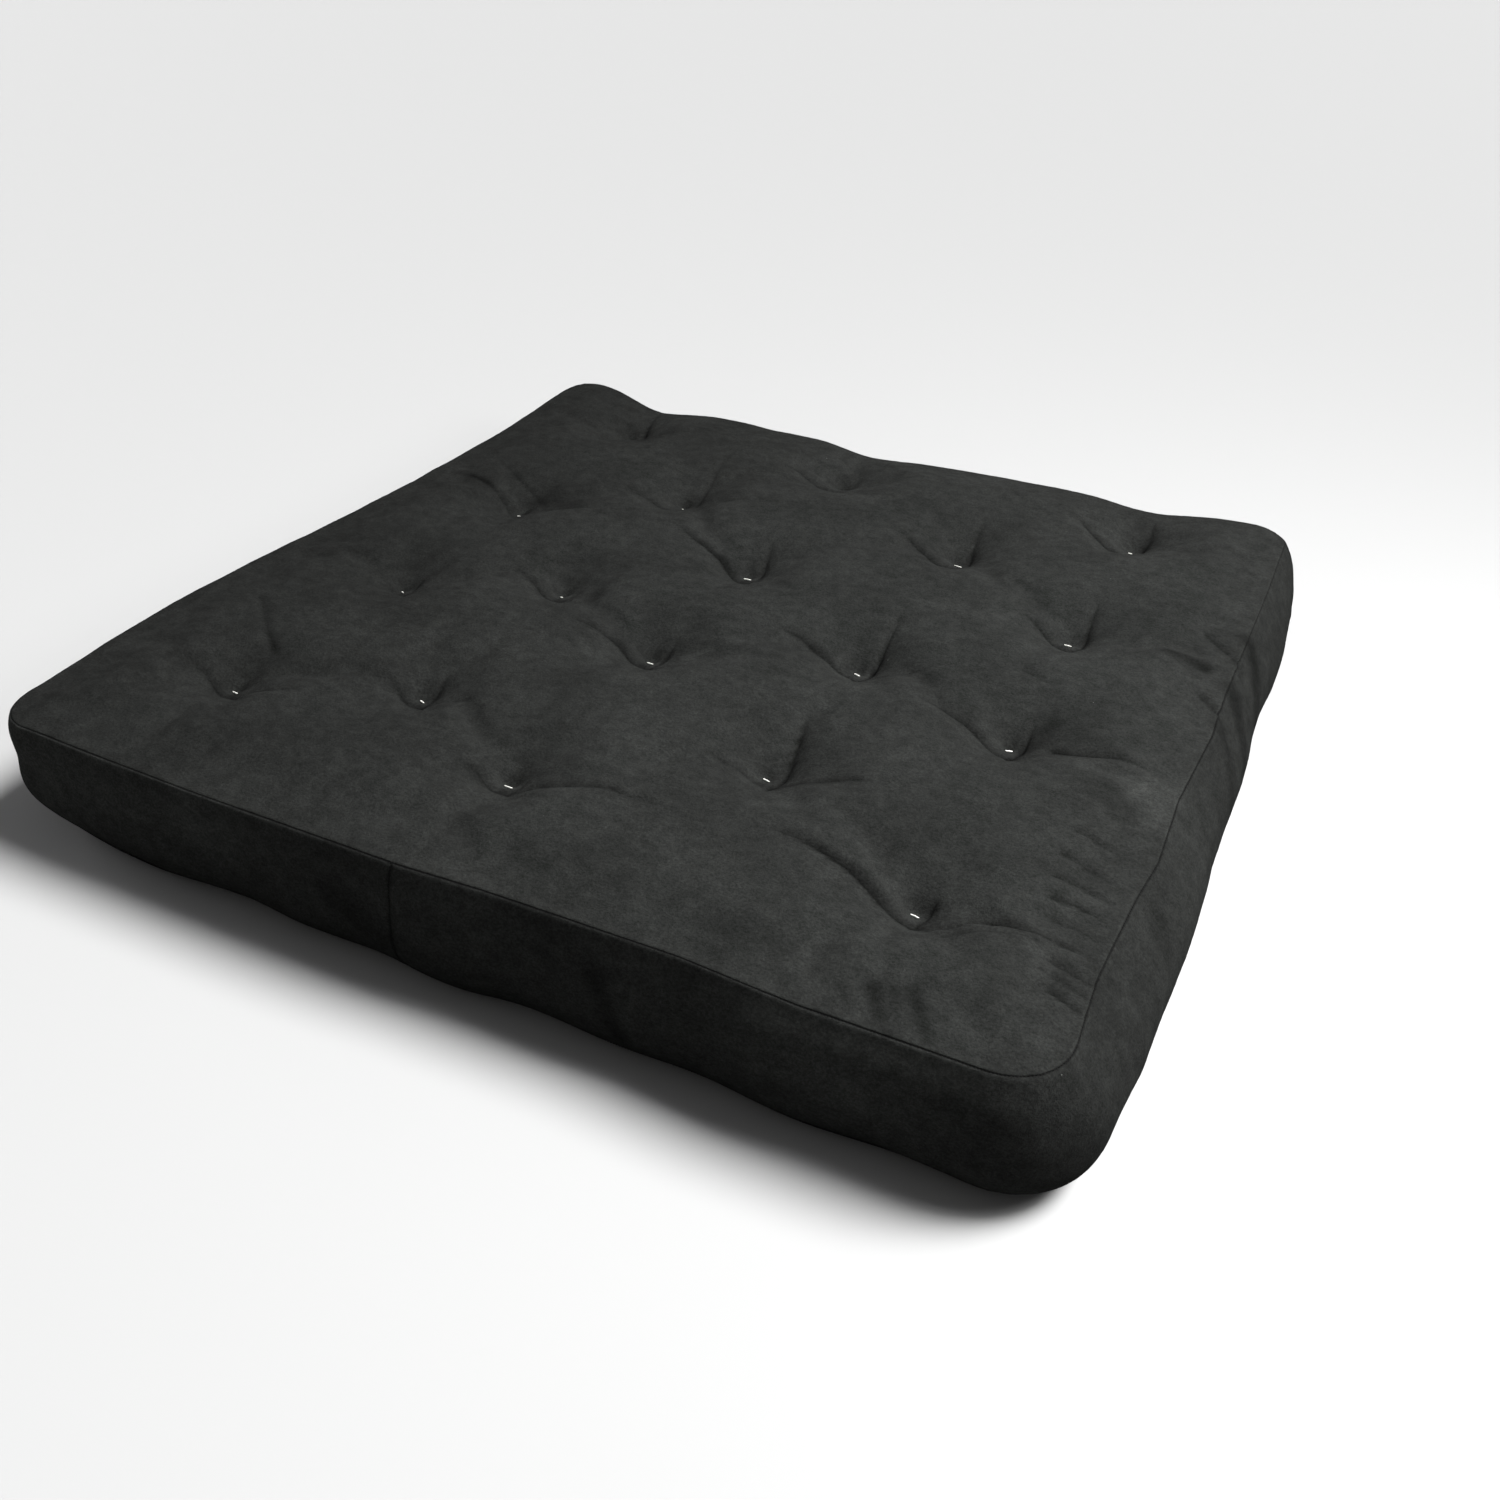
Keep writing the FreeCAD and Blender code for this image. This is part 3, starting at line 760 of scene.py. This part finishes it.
def sewn_piece(name, wanted, points, faces, panels, normals, shade):
    """One cut of cloth, with its edges turned in at the seams as an allowance."""
    mine = [face for face, panel in zip(faces, panels) if panel in wanted]
    used = sorted({point for face in mine for point in face})
    renumbered = {point: k for k, point in enumerate(used)}
    mine = [tuple(renumbered[point] for point in face) for face in mine]
    spots = points[used]
    edges = dict.fromkeys(
        edge for face in mine for edge in zip(face, face[1:] + face[:1])
    )
    rim = [(start, end) for start, end in edges if (end, start) not in edges]
    inside = {}
    turned = []
    for start, _ in rim:
        inside[start] = len(spots) + len(turned)
        turned.append(spots[start] - ALLOWANCE * normals[used[start]])
    for start, end in rim:
        if end in inside:
            mine.append((end, start, inside[start], inside[end]))
    piece = smooth_shaded(mesh_object(name, np.concatenate([spots, turned]), mine))
    # the turned-in allowance is painted half as light: painted shade inside the seam
    shade = np.concatenate([shade[used], np.full(len(turned), 0.5)])
    # the nap attribute holds the nap's own tone together with painted shade and painted
    # highlights
    nap = piece.data.attributes.new("nap", "FLOAT", "POINT")
    nap.data.foreach_set("value", shade.astype(np.float32))
    return piece


def cut_piece(name, *wanted):
    """A piece of the fine cloth."""
    return sewn_piece(
        name, wanted, fine_points, fine_faces, fine_panels, fine_normals, fine_shade
    )


top_panel = cut_piece("cover_top_panel", TOP)
left_strip = cut_piece("boxing_left", BOXING_LEFT)
right_strip = cut_piece("boxing_right", BOXING_RIGHT)

base_x, base_y = HALF_X - BASE_INSET, HALF_Y - BASE_INSET
BASE_EDGE = 0.055  # how far inside its seam the bottom panel starts to lift
BASE_HOLLOW = 0.024  # how high the twine pulls it at a tuft


def base_points():
    """The bottom panel: flat where it rests, hollow at the tufts, lifted along its seam."""
    x, y = flat_x * base_x / panel_x, flat_y * base_y / panel_y
    x, y = lean(*rounded(x, y, base_x, base_y, BULGE_RADIUS), 1)
    plan = np.stack([x, y], axis=1)
    z = BASE_LEVEL * smooth(BASE_EDGE, 0, edge_gap(flat_x, flat_y)) ** 1.3
    for place in TUFTS:
        nearest = np.argmin(np.linalg.norm(plan - place, axis=1))
        reach = np.linalg.norm(plan - plan[nearest], axis=1)
        z = np.maximum(z, BASE_HOLLOW * np.exp(-((reach / HOLLOW_REACH) ** 1.3)))
        shift = place - plan[nearest]
        plan = plan + shift * np.exp(-((reach / GRID_GIVE) ** 2))[:, None]
    found = np.column_stack([plan, z])
    found[RIM] = shape[RINGS[-1]]
    return found


base = base_points()
base_faces = [face[::-1] for face in panel_faces]
base_normals = np.tile([0.0, 0.0, -1.0], (len(base), 1))
base_normals[RIM] = 0  # its rim isn't turned in
bottom_panel = sewn_piece(
    "cover_bottom_panel", [TOP], base, base_faces, [TOP] * len(base_faces), base_normals,
    np.full(len(base), 0.9),
)

# ---------------- the fill between the panels

RIM_PLACE = {point: k for k, point in enumerate(RIM)}
RIM_CLEARANCE = 0.004  # from the sides of the fill up to the top panel
COVER_WINDOW = 0.024  # how far round a point of the fill the cover is looked at, on top
SIDE_WINDOW = 0.014  # and at the sides


def boxing_place(column, row):
    """Which point of each boxing ring stands outside a point of the fill's rim."""
    outer_c = {1: 0, COLUMNS - 2: COLUMNS - 1}.get(column, column)
    outer_r = {1: 0, ROWS - 2: ROWS - 1}.get(row, row)
    return RIM_PLACE[number(outer_c, outer_r)]


cover_tree = KDTree(len(fine_points))
for k, (x, y, z) in enumerate(fine_points):
    if fine_normals[k][2] > 0.2:
        cover_tree.insert((x, y, 0), k)
cover_tree.balance()


def lowest_cover(points, reach):
    """The lowest the top panel comes within a reach of each point."""
    levels = []
    for x, y, z in points:
        near = [fine_points[k][2] for _, k, _ in cover_tree.find_range((x, y, 0), reach)]
        levels.append(min(near, default=z))
    return np.array(levels)


ceiling = fine_points[FILL_GRID].copy()
ceiling[:, 2] = lowest_cover(ceiling, COVER_WINDOW)


def fill_layer(name, low_share, high_share, inset):
    """A closed pad between two shares of the height, pressed to the tufts by the cover."""
    floor = base[FILL_GRID]
    lower = floor + (ceiling - floor) * low_share
    upper = floor + (ceiling - floor) * high_share
    faces = grid_faces(len(FILL_COLUMNS), len(FILL_ROWS))
    under = [tuple(k + len(floor) for k in face[::-1]) for face in faces]
    points = [upper, lower]
    rim = outline(FILL_COLUMNS, FILL_ROWS)
    edge = [FILL_GRID.index(number(*place)) for place in rim]
    rings = [edge]
    count = 2 * len(floor)
    for level in np.linspace(high_share, low_share, 4):
        at = (1 - level) * (len(RINGS) - 1)
        first = min(int(at), len(RINGS) - 2)
        outer = [boxing_place(*place) for place in rim]
        near = shape[np.array(RINGS[first])[outer]] * (1 - at + first)
        near = near + shape[np.array(RINGS[first + 1])[outer]] * (at - first)
        pull = 1 - inset / np.linalg.norm(near[:, :2], axis=1)
        near[:, :2] *= pull[:, None]
        room = lowest_cover(near, SIDE_WINDOW) - RIM_CLEARANCE
        near[:, 2] = np.minimum(near[:, 2], room)
        points.append(near)
        rings.append(list(range(count, count + len(rim))))
        count += len(rim)
    rings.append([k + len(floor) for k in edge])
    return smooth_shaded(
        mesh_object(name, np.concatenate(points), faces + wall_faces(rings) + under)
    )


# the lowest and the highest share of the height that each pad takes up
LAYERS = {
    "lower_batting": (0.035, 0.175),
    "lower_foam_slab": (0.18, 0.39),
    "middle_batting": (0.395, 0.605),
    "upper_foam_slab": (0.61, 0.82),
    "upper_batting": (0.825, 0.955),
}
PAD_INSET, SOCK_INSET = 0.016, 0.011  # from the boxing
KNIT, TAPE = 0.001, 0.0004  # how thick the sock and the label are
pads = {name: fill_layer(name, *shares, PAD_INSET) for name, shares in LAYERS.items()}
sock = fill_layer("fire_barrier_sock", 0.022, 0.970, SOCK_INSET)
sock.modifiers.new("knit", "SOLIDIFY").thickness = KNIT

# ---------------- stitches, twine and knots


def tube(line, radius, sides=8, closed=False):
    """Points and faces of a round tube along a line of points."""
    line = np.asarray(line, float)
    count = len(line)
    points, faces = [], []
    side_way = None
    for k in range(count):
        before = line[(k - 1) % count] if closed or k else line[k]
        after = line[(k + 1) % count] if closed or k < count - 1 else line[k]
        ahead = (after - before) / np.linalg.norm(after - before)
        if side_way is None:
            side_way = np.cross(ahead, [0.3, 0.9, 0.2])
        side_way = side_way - ahead * (side_way @ ahead)
        side_way /= np.linalg.norm(side_way)
        other = np.cross(ahead, side_way)
        for j in range(sides):
            angle = 2 * math.pi * j / sides
            out = math.cos(angle) * side_way + math.sin(angle) * other
            points.append(line[k] + radius * out)
    for k in range(count if closed else count - 1):
        here, after = k * sides, (k + 1) % count * sides
        for j in range(sides):
            beside = (j + 1) % sides
            faces.append((here + j, here + beside, after + beside, after + j))
    if not closed:
        faces.append(tuple(reversed(range(sides))))
        faces.append(tuple(range((count - 1) * sides, count * sides)))
    return points, faces


def joined(name, parts):
    """One mesh of several separate closed shapes."""
    points, faces = [], []
    for some_points, some_faces in parts:
        faces += [tuple(k + len(points) for k in face) for face in some_faces]
        points += list(some_points)
    return smooth_shaded(mesh_object(name, points, faces))


def seam_line(numbers):
    """The seam's points in order round the mattress."""
    spots = fine_points[numbers]
    return spots[np.argsort(np.arctan2(spots[:, 1] / HALF_Y, spots[:, 0] / HALF_X))]


def run_of_stitches(line, closed, pitch=0.005, radius=0.0005, lift=0.0004):
    """Lock stitches sunk into a seam, one short tube each."""
    line = np.concatenate([line, line[:1]]) if closed else line
    lengths = np.concatenate([[0], np.cumsum(np.linalg.norm(np.diff(line, axis=0), axis=1))])
    places = np.arange(0, lengths[-1] - pitch, pitch)

    def at(distance):
        """The points at some distances along the line."""
        return np.stack([np.interp(distance, lengths, line[:, k]) for k in range(3)], axis=-1)

    starts, middles, ends = at(places), at(places + 0.35 * pitch), at(places + 0.7 * pitch)
    outward = middles * [1, 1, 0]
    outward /= np.linalg.norm(outward, axis=1)[:, None]
    return [
        tube([start, middle + lift * way, end], radius, sides=4)
        for start, middle, end, way in zip(starts, middles, ends, outward)
    ]


TWINE = 0.0013  # radius
TWINE_RISE = 0.0006  # of the middle of a stitch above its ends
TWINE_CORNER = 0.002  # how far the twine takes to turn
UNDERSIDE = 0.0225  # the level of the twine under the bottom panel
KNOT_LEVEL = 0.0195
KNOT_SIZE = 0.0011
KNOT_TWINE = 0.0009  # radius
KNOT_TAIL = [(0.002, 0), (0.008, 0.002), (0.018, 0.005)]  # how far out and how far down


def twine_loop(place, top_z, low_z, angle):
    """The loop of twine at one tuft: the stitch on top, two legs and the strand underneath."""
    way = np.array([math.cos(angle), math.sin(angle), 0])
    centre = np.array([place[0], place[1], 0])
    corners = []
    for reach, z in ((-1, low_z), (1, low_z), (1, top_z), (-1, top_z)):
        corner = centre + way * reach * STITCH + [0, 0, z]
        into = np.array([0, 0, -TWINE_CORNER if z == top_z else TWINE_CORNER])
        along = way * reach * TWINE_CORNER
        steps = [corner + into, corner + into * 0.3 - along * 0.3, corner - along]
        corners += steps if (reach > 0) == (z == top_z) else steps[::-1]
    crown = centre + [0, 0, top_z + TWINE_RISE]
    corners.insert(9, crown)  # halfway along the stitch
    return tube(corners, TWINE, closed=True)


def trefoil_knot(place, z, angle):
    """A trefoil knot on the lower strand, with its two cut ends."""
    turns = np.linspace(0, 2 * math.pi, 40, endpoint=False)
    knot = np.stack([
        (np.sin(turns) + 2 * np.sin(2 * turns)) * KNOT_SIZE,
        (np.cos(turns) - 2 * np.cos(2 * turns)) * KNOT_SIZE,
        -np.sin(3 * turns) * KNOT_SIZE,
    ], axis=1)
    turned = Matrix.Rotation(angle, 3, "Z") @ Matrix.Rotation(0.6, 3, "X")
    start = np.array([place[0], place[1], z])
    parts = [tube(knot @ np.array(turned).T + start, KNOT_TWINE, 6, closed=True)]
    for side in (-1, 1):
        way = angle + side * 0.5 + (math.pi if side > 0 else 0)
        out = np.array([math.cos(way), math.sin(way), 0])
        tail = [start + out * far - [0, 0, drop] for far, drop in KNOT_TAIL]
        parts.append(tube(tail, KNOT_TWINE, 6))
    return parts


top_levels = [fine_points[point][2] for point in TUFT_VERTICES]
twine = joined("tuft_twine", [
    twine_loop(place, level + TWINE * 0.9, UNDERSIDE, angle)
    for place, level, angle in zip(TUFTS, top_levels, stitch_angles)
])
knots = joined("tuft_knots", [
    part
    for place, angle in zip(TUFTS, stitch_angles)
    for part in trefoil_knot(place, KNOT_LEVEL, angle)
])
top_line = seam_line(TOP_SEAM)
top_stitches = joined("top_seam_stitching", run_of_stitches(top_line, closed=True))
base_line = shape[RINGS[-1]]
base_stitches = joined("bottom_seam_stitching", run_of_stitches(base_line, closed=True))
join_runs = []
for at_back in (False, True):
    line = fine_points[[k for k in JOIN_SEAM if (fine_points[k][1] > 0) == at_back]]
    join_runs += run_of_stitches(line[np.argsort(line[:, 2])], closed=False)
join_stitches = joined("boxing_join_stitching", join_runs)

label_low, label_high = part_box("care_label")
LABEL_COLUMNS, LABEL_ROWS = 7, 9
LABEL_LIFT, LABEL_CURL = 0.0012, 0.002  # off the boxing, and how much further at 0.1 m up


def label_points():
    """The blank label, hanging from the bottom seam against the back boxing."""
    strip = fine_points[fine_points[:, 1] > 0.9 * HALF_Y]
    points = []
    for z in np.linspace(label_low.z, label_high.z, LABEL_ROWS):
        for x in np.linspace(label_low.x, label_high.x, LABEL_COLUMNS):
            near = np.argsort((strip[:, 0] - x) ** 2 + (strip[:, 2] - z) ** 2)[:6]
            curl = LABEL_LIFT + LABEL_CURL * ((z - label_low.z) / 0.1) ** 2
            points.append((x, strip[near, 1].max() + curl, z))
    return points


label_faces = [face[::-1] for face in grid_faces(LABEL_COLUMNS, LABEL_ROWS)]
label = smooth_shaded(mesh_object("blank_care_label", label_points(), label_faces))
label.modifiers.new("tape", "SOLIDIFY").thickness = TAPE

# ---------------- materials


def material(name, colour, roughness, sheen=0.0, sheen_roughness=0.5, gloss=0.25):
    """A new material, its nodes and its shader."""
    made = bpy.data.materials.new(name)
    made.use_nodes = True
    shader = made.node_tree.nodes["Principled BSDF"]
    for name, value in {
        "Base Color": (*colour, 1),
        "Roughness": roughness,
        "Sheen Weight": sheen,
        "Sheen Roughness": sheen_roughness,
        "Specular IOR Level": gloss,
    }.items():
        shader.inputs[name].default_value = value
    return made, made.node_tree, shader


def add(tree, kind, **settings):
    """A new node with its inputs and properties set."""
    node = tree.nodes.new(kind)
    for key, value in settings.items():
        if key in node.inputs:
            node.inputs[key].default_value = value
        else:
            setattr(node, key, value)
    return node


def noise_field(tree, scale, detail=4, roughness=0.5, stretch=(1, 1, 1)):
    """A noise over the piece in metres; stretch multiplies the frequency along each axis."""
    place = add(tree, "ShaderNodeTexCoord")
    sizing = add(tree, "ShaderNodeMapping", Scale=stretch)
    field = add(tree, "ShaderNodeTexNoise", Scale=scale, Detail=detail, Roughness=roughness)
    tree.links.new(place.outputs["Object"], sizing.inputs["Vector"])
    tree.links.new(sizing.outputs["Vector"], field.inputs["Vector"])
    return field.outputs["Fac"]


def ramp(tree, value, low, high, dark, light):
    """Maps a value between low and high onto two shades."""
    limits = {"From Min": low, "From Max": high, "To Min": dark, "To Max": light}
    mapped = add(tree, "ShaderNodeMapRange", interpolation_type="SMOOTHSTEP", **limits)
    tree.links.new(value, mapped.inputs["Value"])
    return mapped.outputs["Result"]


def combine(tree, operation, first, second):
    """A math node's output; each input is a number or another node's output."""
    node = add(tree, "ShaderNodeMath", operation=operation)
    for socket, value in zip(node.inputs, (first, second)):
        if isinstance(value, (int, float)):
            socket.default_value = value
        else:
            tree.links.new(value, socket)
    return node.outputs["Value"]


def bump(tree, shader, height, distance, strength=1.0):
    """Gives a shader the relief of a height."""
    node = add(tree, "ShaderNodeBump", Distance=distance, Strength=strength)
    tree.links.new(height, node.inputs["Height"])
    tree.links.new(node.outputs["Normal"], shader.inputs["Normal"])


def mixed(tree, blend, factor, first, second):
    """A colour mix; each input is a colour, a number or another node's output."""
    node = add(tree, "ShaderNodeMix", data_type="RGBA", blend_type=blend)
    factor_at, first_at, second_at = node.inputs[0], node.inputs[6], node.inputs[7]
    for socket, value in ((factor_at, factor), (first_at, first), (second_at, second)):
        if isinstance(value, (int, float, tuple)):
            socket.default_value = value
        else:
            tree.links.new(value, socket)
    return node.outputs[2]


SUEDE = (0.0160, 0.0167, 0.0158)
LINT = (0.12, 0.125, 0.12)
LINT_CELLS = 30  # in a metre; there is at most one speck in each
LINT_EDGE = (0.018, 0.032)  # from where a speck is whole to where it ends, in cells
LINT_FREE = 0.94  # the share of cells without a speck
# scale, detail, roughness and stretch of each noise; then the values at which it is darkest and
# lightest, and its two shades
SUEDE_FIELDS = {
    "clouds": ((5, 10, 0.66), (0.34, 0.66, 0.87, 1.13)),
    "blotches": ((34, 8, 0.74, (1, 1.25, 1.2)), (0.34, 0.66, 0.82, 1.18)),
    "flecks": ((210, 4, 0.80, (1, 1.3, 1.2)), (0.36, 0.64, 0.74, 1.26)),
    "hairs": ((700, 2, 0.6, (1, 3, 2)), (0.30, 0.70, 0.80, 1.20)),
}


def microsuede():
    """Black microsuede: a short nap brushed this way and that, with a little lint on it, and the
    painted light and shade that the cloth carries.
    """
    made, tree, shader = material("microsuede", SUEDE, 0.95, 0.004, 0.45, 0.0)
    fields = {
        name: ramp(tree, noise_field(tree, *field), *levels)
        for name, (field, levels) in SUEDE_FIELDS.items()
    }
    # the nap attribute carries the nap's own tone together with painted shade and painted
    # highlights
    shade = add(tree, "ShaderNodeAttribute", attribute_name="nap").outputs["Fac"]
    for field in fields.values():
        shade = combine(tree, "MULTIPLY", shade, field)
    place = add(tree, "ShaderNodeTexCoord")
    cells = add(tree, "ShaderNodeTexVoronoi", Scale=LINT_CELLS)
    tree.links.new(place.outputs["Object"], cells.inputs["Vector"])
    picked = add(tree, "ShaderNodeSeparateColor")
    tree.links.new(cells.outputs["Color"], picked.inputs["Color"])
    small = ramp(tree, cells.outputs["Distance"], *LINT_EDGE, 1, 0)
    rare = combine(tree, "GREATER_THAN", picked.outputs["Red"], LINT_FREE)
    lint = combine(tree, "MULTIPLY", small, rare)
    suede = mixed(tree, "MULTIPLY", 1, (*SUEDE, 1), shade)
    colour = mixed(tree, "MIX", lint, suede, (*LINT, 1))
    tree.links.new(colour, shader.inputs["Base Color"])
    blotches = combine(tree, "MULTIPLY", fields["blotches"], 2.5)
    height = combine(tree, "ADD", fields["flecks"], blotches)
    bump(tree, shader, combine(tree, "ADD", height, fields["hairs"]), 0.0010, 0.7)
    return made


def thread_material(name, colour, scale):
    """Twisted thread: fine slanting ridges and a little unevenness."""
    made, tree, shader = material(name, colour, 0.85, 0.0, 0.5, 0.05)
    twist = noise_field(tree, scale, 2, 0.5, (1, 1, 0.4))
    shade = mixed(tree, "MULTIPLY", 1, (*colour, 1), ramp(tree, twist, 0.3, 0.7, 0.8, 1.1))
    tree.links.new(shade, shader.inputs["Base Color"])
    bump(tree, shader, twist, 0.0003)
    return made


def soft_material(name, light, dark, scale, depth, stretch=(1, 1, 1)):
    """Foam, batting or knit: two tones and a bump from the same noise."""
    made, tree, shader = material(name, light, 0.95, 0.1)
    field = noise_field(tree, scale, 6, 0.65, stretch)
    tone = add(tree, "ShaderNodeValToRGB")
    for stop, place, colour in zip(tone.color_ramp.elements, (0.3, 0.65), (dark, light)):
        stop.position = place
        stop.color = (*colour, 1)
    tree.links.new(field, tone.inputs["Fac"])
    tree.links.new(tone.outputs["Color"], shader.inputs["Base Color"])
    bump(tree, shader, field, depth)
    return made


# each looks after the material slot that its pieces take from the record
SOFT = {
    "cotton_batting": ((0.72, 0.68, 0.60), (0.52, 0.49, 0.43), 60, 0.004),
    "polyurethane_foam": ((0.86, 0.80, 0.58), (0.70, 0.64, 0.44), 350, 0.001),
    "fire_barrier_knit": ((0.80, 0.79, 0.75), (0.60, 0.59, 0.56), 500, 0.0005, (1, 3, 1)),
    "label_cloth": ((0.90, 0.90, 0.88), (0.78, 0.78, 0.76), 800, 0.0002, (4, 1, 1)),
}
LOOKS = {
    "microsuede": microsuede(),
    "seam_thread": thread_material("seam_thread", (0.006, 0.006, 0.006), 900),
    "tufting_twine": thread_material("tufting_twine", (0.80, 0.79, 0.74), 700),
}
LOOKS.update({name: soft_material(name, *settings) for name, settings in SOFT.items()})

# ---------------- each piece: looks, slot, and the nodes that it hides

# the nodes that each replaces, and the size that it was cut to
SUEDE_PIECES = {
    top_panel: (both("cover_top_panel"), (2 * panel_x + 0.10, 2 * panel_y + 0.10)),
    bottom_panel: (both("cover_bottom_panel"), (2 * base_x, 2 * base_y)),
    left_strip: (both("boxing_left"), (3.75, 0.24)),
    right_strip: (both("boxing_right"), (4.10, 0.24)),
}
PIECES = [(piece, nodes, "microsuede") for piece, (nodes, _) in SUEDE_PIECES.items()] + [
    (top_stitches, both("top_seam_stitching"), "seam_thread"),
    (base_stitches, both("bottom_seam_stitching"), "seam_thread"),
    (join_stitches, both("boxing_join_stitching"), "seam_thread"),
    (twine, both("tuft_twine"), "tufting_twine"),
    (knots, both("tuft_knots"), "tufting_twine"),
    (sock, both("fire_barrier_sock"), "fire_barrier_knit"),
    (label, ["care_label"], "label_cloth"),
]
for name, pad in pads.items():
    is_foam = "foam" in name
    PIECES.append((pad, both(name), "polyurethane_foam" if is_foam else "cotton_batting"))
for piece, nodes, slot in PIECES:
    piece.data.materials.append(LOOKS[slot])
    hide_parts(*nodes)
    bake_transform(piece)

# ---------------- floor and light

FLOOR = 40  # half its side
corners = [(x * FLOOR, y * FLOOR, 0) for x, y in ((-1, -1), (1, -1), (1, 1), (-1, 1))]
floor = mesh_object("floor", corners, [(0, 1, 2, 3)])
floor_paint, _, _ = material("floor_paint", (0.36, 0.36, 0.36), 1.0)
floor.data.materials.append(floor_paint)
floor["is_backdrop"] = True

scene = bpy.context.scene
scene.view_settings.view_transform = "Standard"
scene.world = bpy.data.worlds.new("studio")
scene.world.use_nodes = True
studio = scene.world.node_tree
WHITE = (1, 1, 1, 1)
fill_light = studio.nodes["Background"]
fill_light.inputs["Color"].default_value = WHITE
fill_light.inputs["Strength"].default_value = 0.16
# what the camera sees behind the floor, as pale as the floor's far end
backdrop = add(studio, "ShaderNodeBackground", Color=WHITE, Strength=0.76)
either = add(studio, "ShaderNodeMixShader")
is_seen = add(studio, "ShaderNodeLightPath").outputs["Is Camera Ray"]
studio.links.new(is_seen, either.inputs[0])
studio.links.new(fill_light.outputs[0], either.inputs[1])
studio.links.new(backdrop.outputs[0], either.inputs[2])
studio.links.new(either.outputs[0], studio.nodes["World Output"].inputs[0])


def sun(name, towards, strength, softness):
    """A distant light; towards is the direction from the mattress to the light."""
    light = bpy.data.objects.new(name, bpy.data.lights.new(name, "SUN"))
    light.data.energy = strength
    light.data.angle = math.radians(softness)
    light.matrix_world = Vector(towards).to_track_quat("Z", "Y").to_matrix().to_4x4()
    scene.collection.objects.link(light)


def softbox(name, place, aim, size, power):
    """A square light at a place, turned to face the point it aims at."""
    light = bpy.data.objects.new(name, bpy.data.lights.new(name, "AREA"))
    light.data.size = size
    light.data.energy = power
    way = Vector(place) - Vector(aim)
    turn = way.to_track_quat("Z", "Y").to_matrix().to_4x4()
    light.matrix_world = Matrix.Translation(place) @ turn
    scene.collection.objects.link(light)


sun("sky_panel", (0.47, 0.38, 0.79), 7.6, 24)
softbox("right_softbox", (2.3, -0.2, 1.9), (0.4, -0.2, 0.2), 1.0, 70)
sun("left_panel", (-0.98, 0.14, 0.10), 2.0, 30)
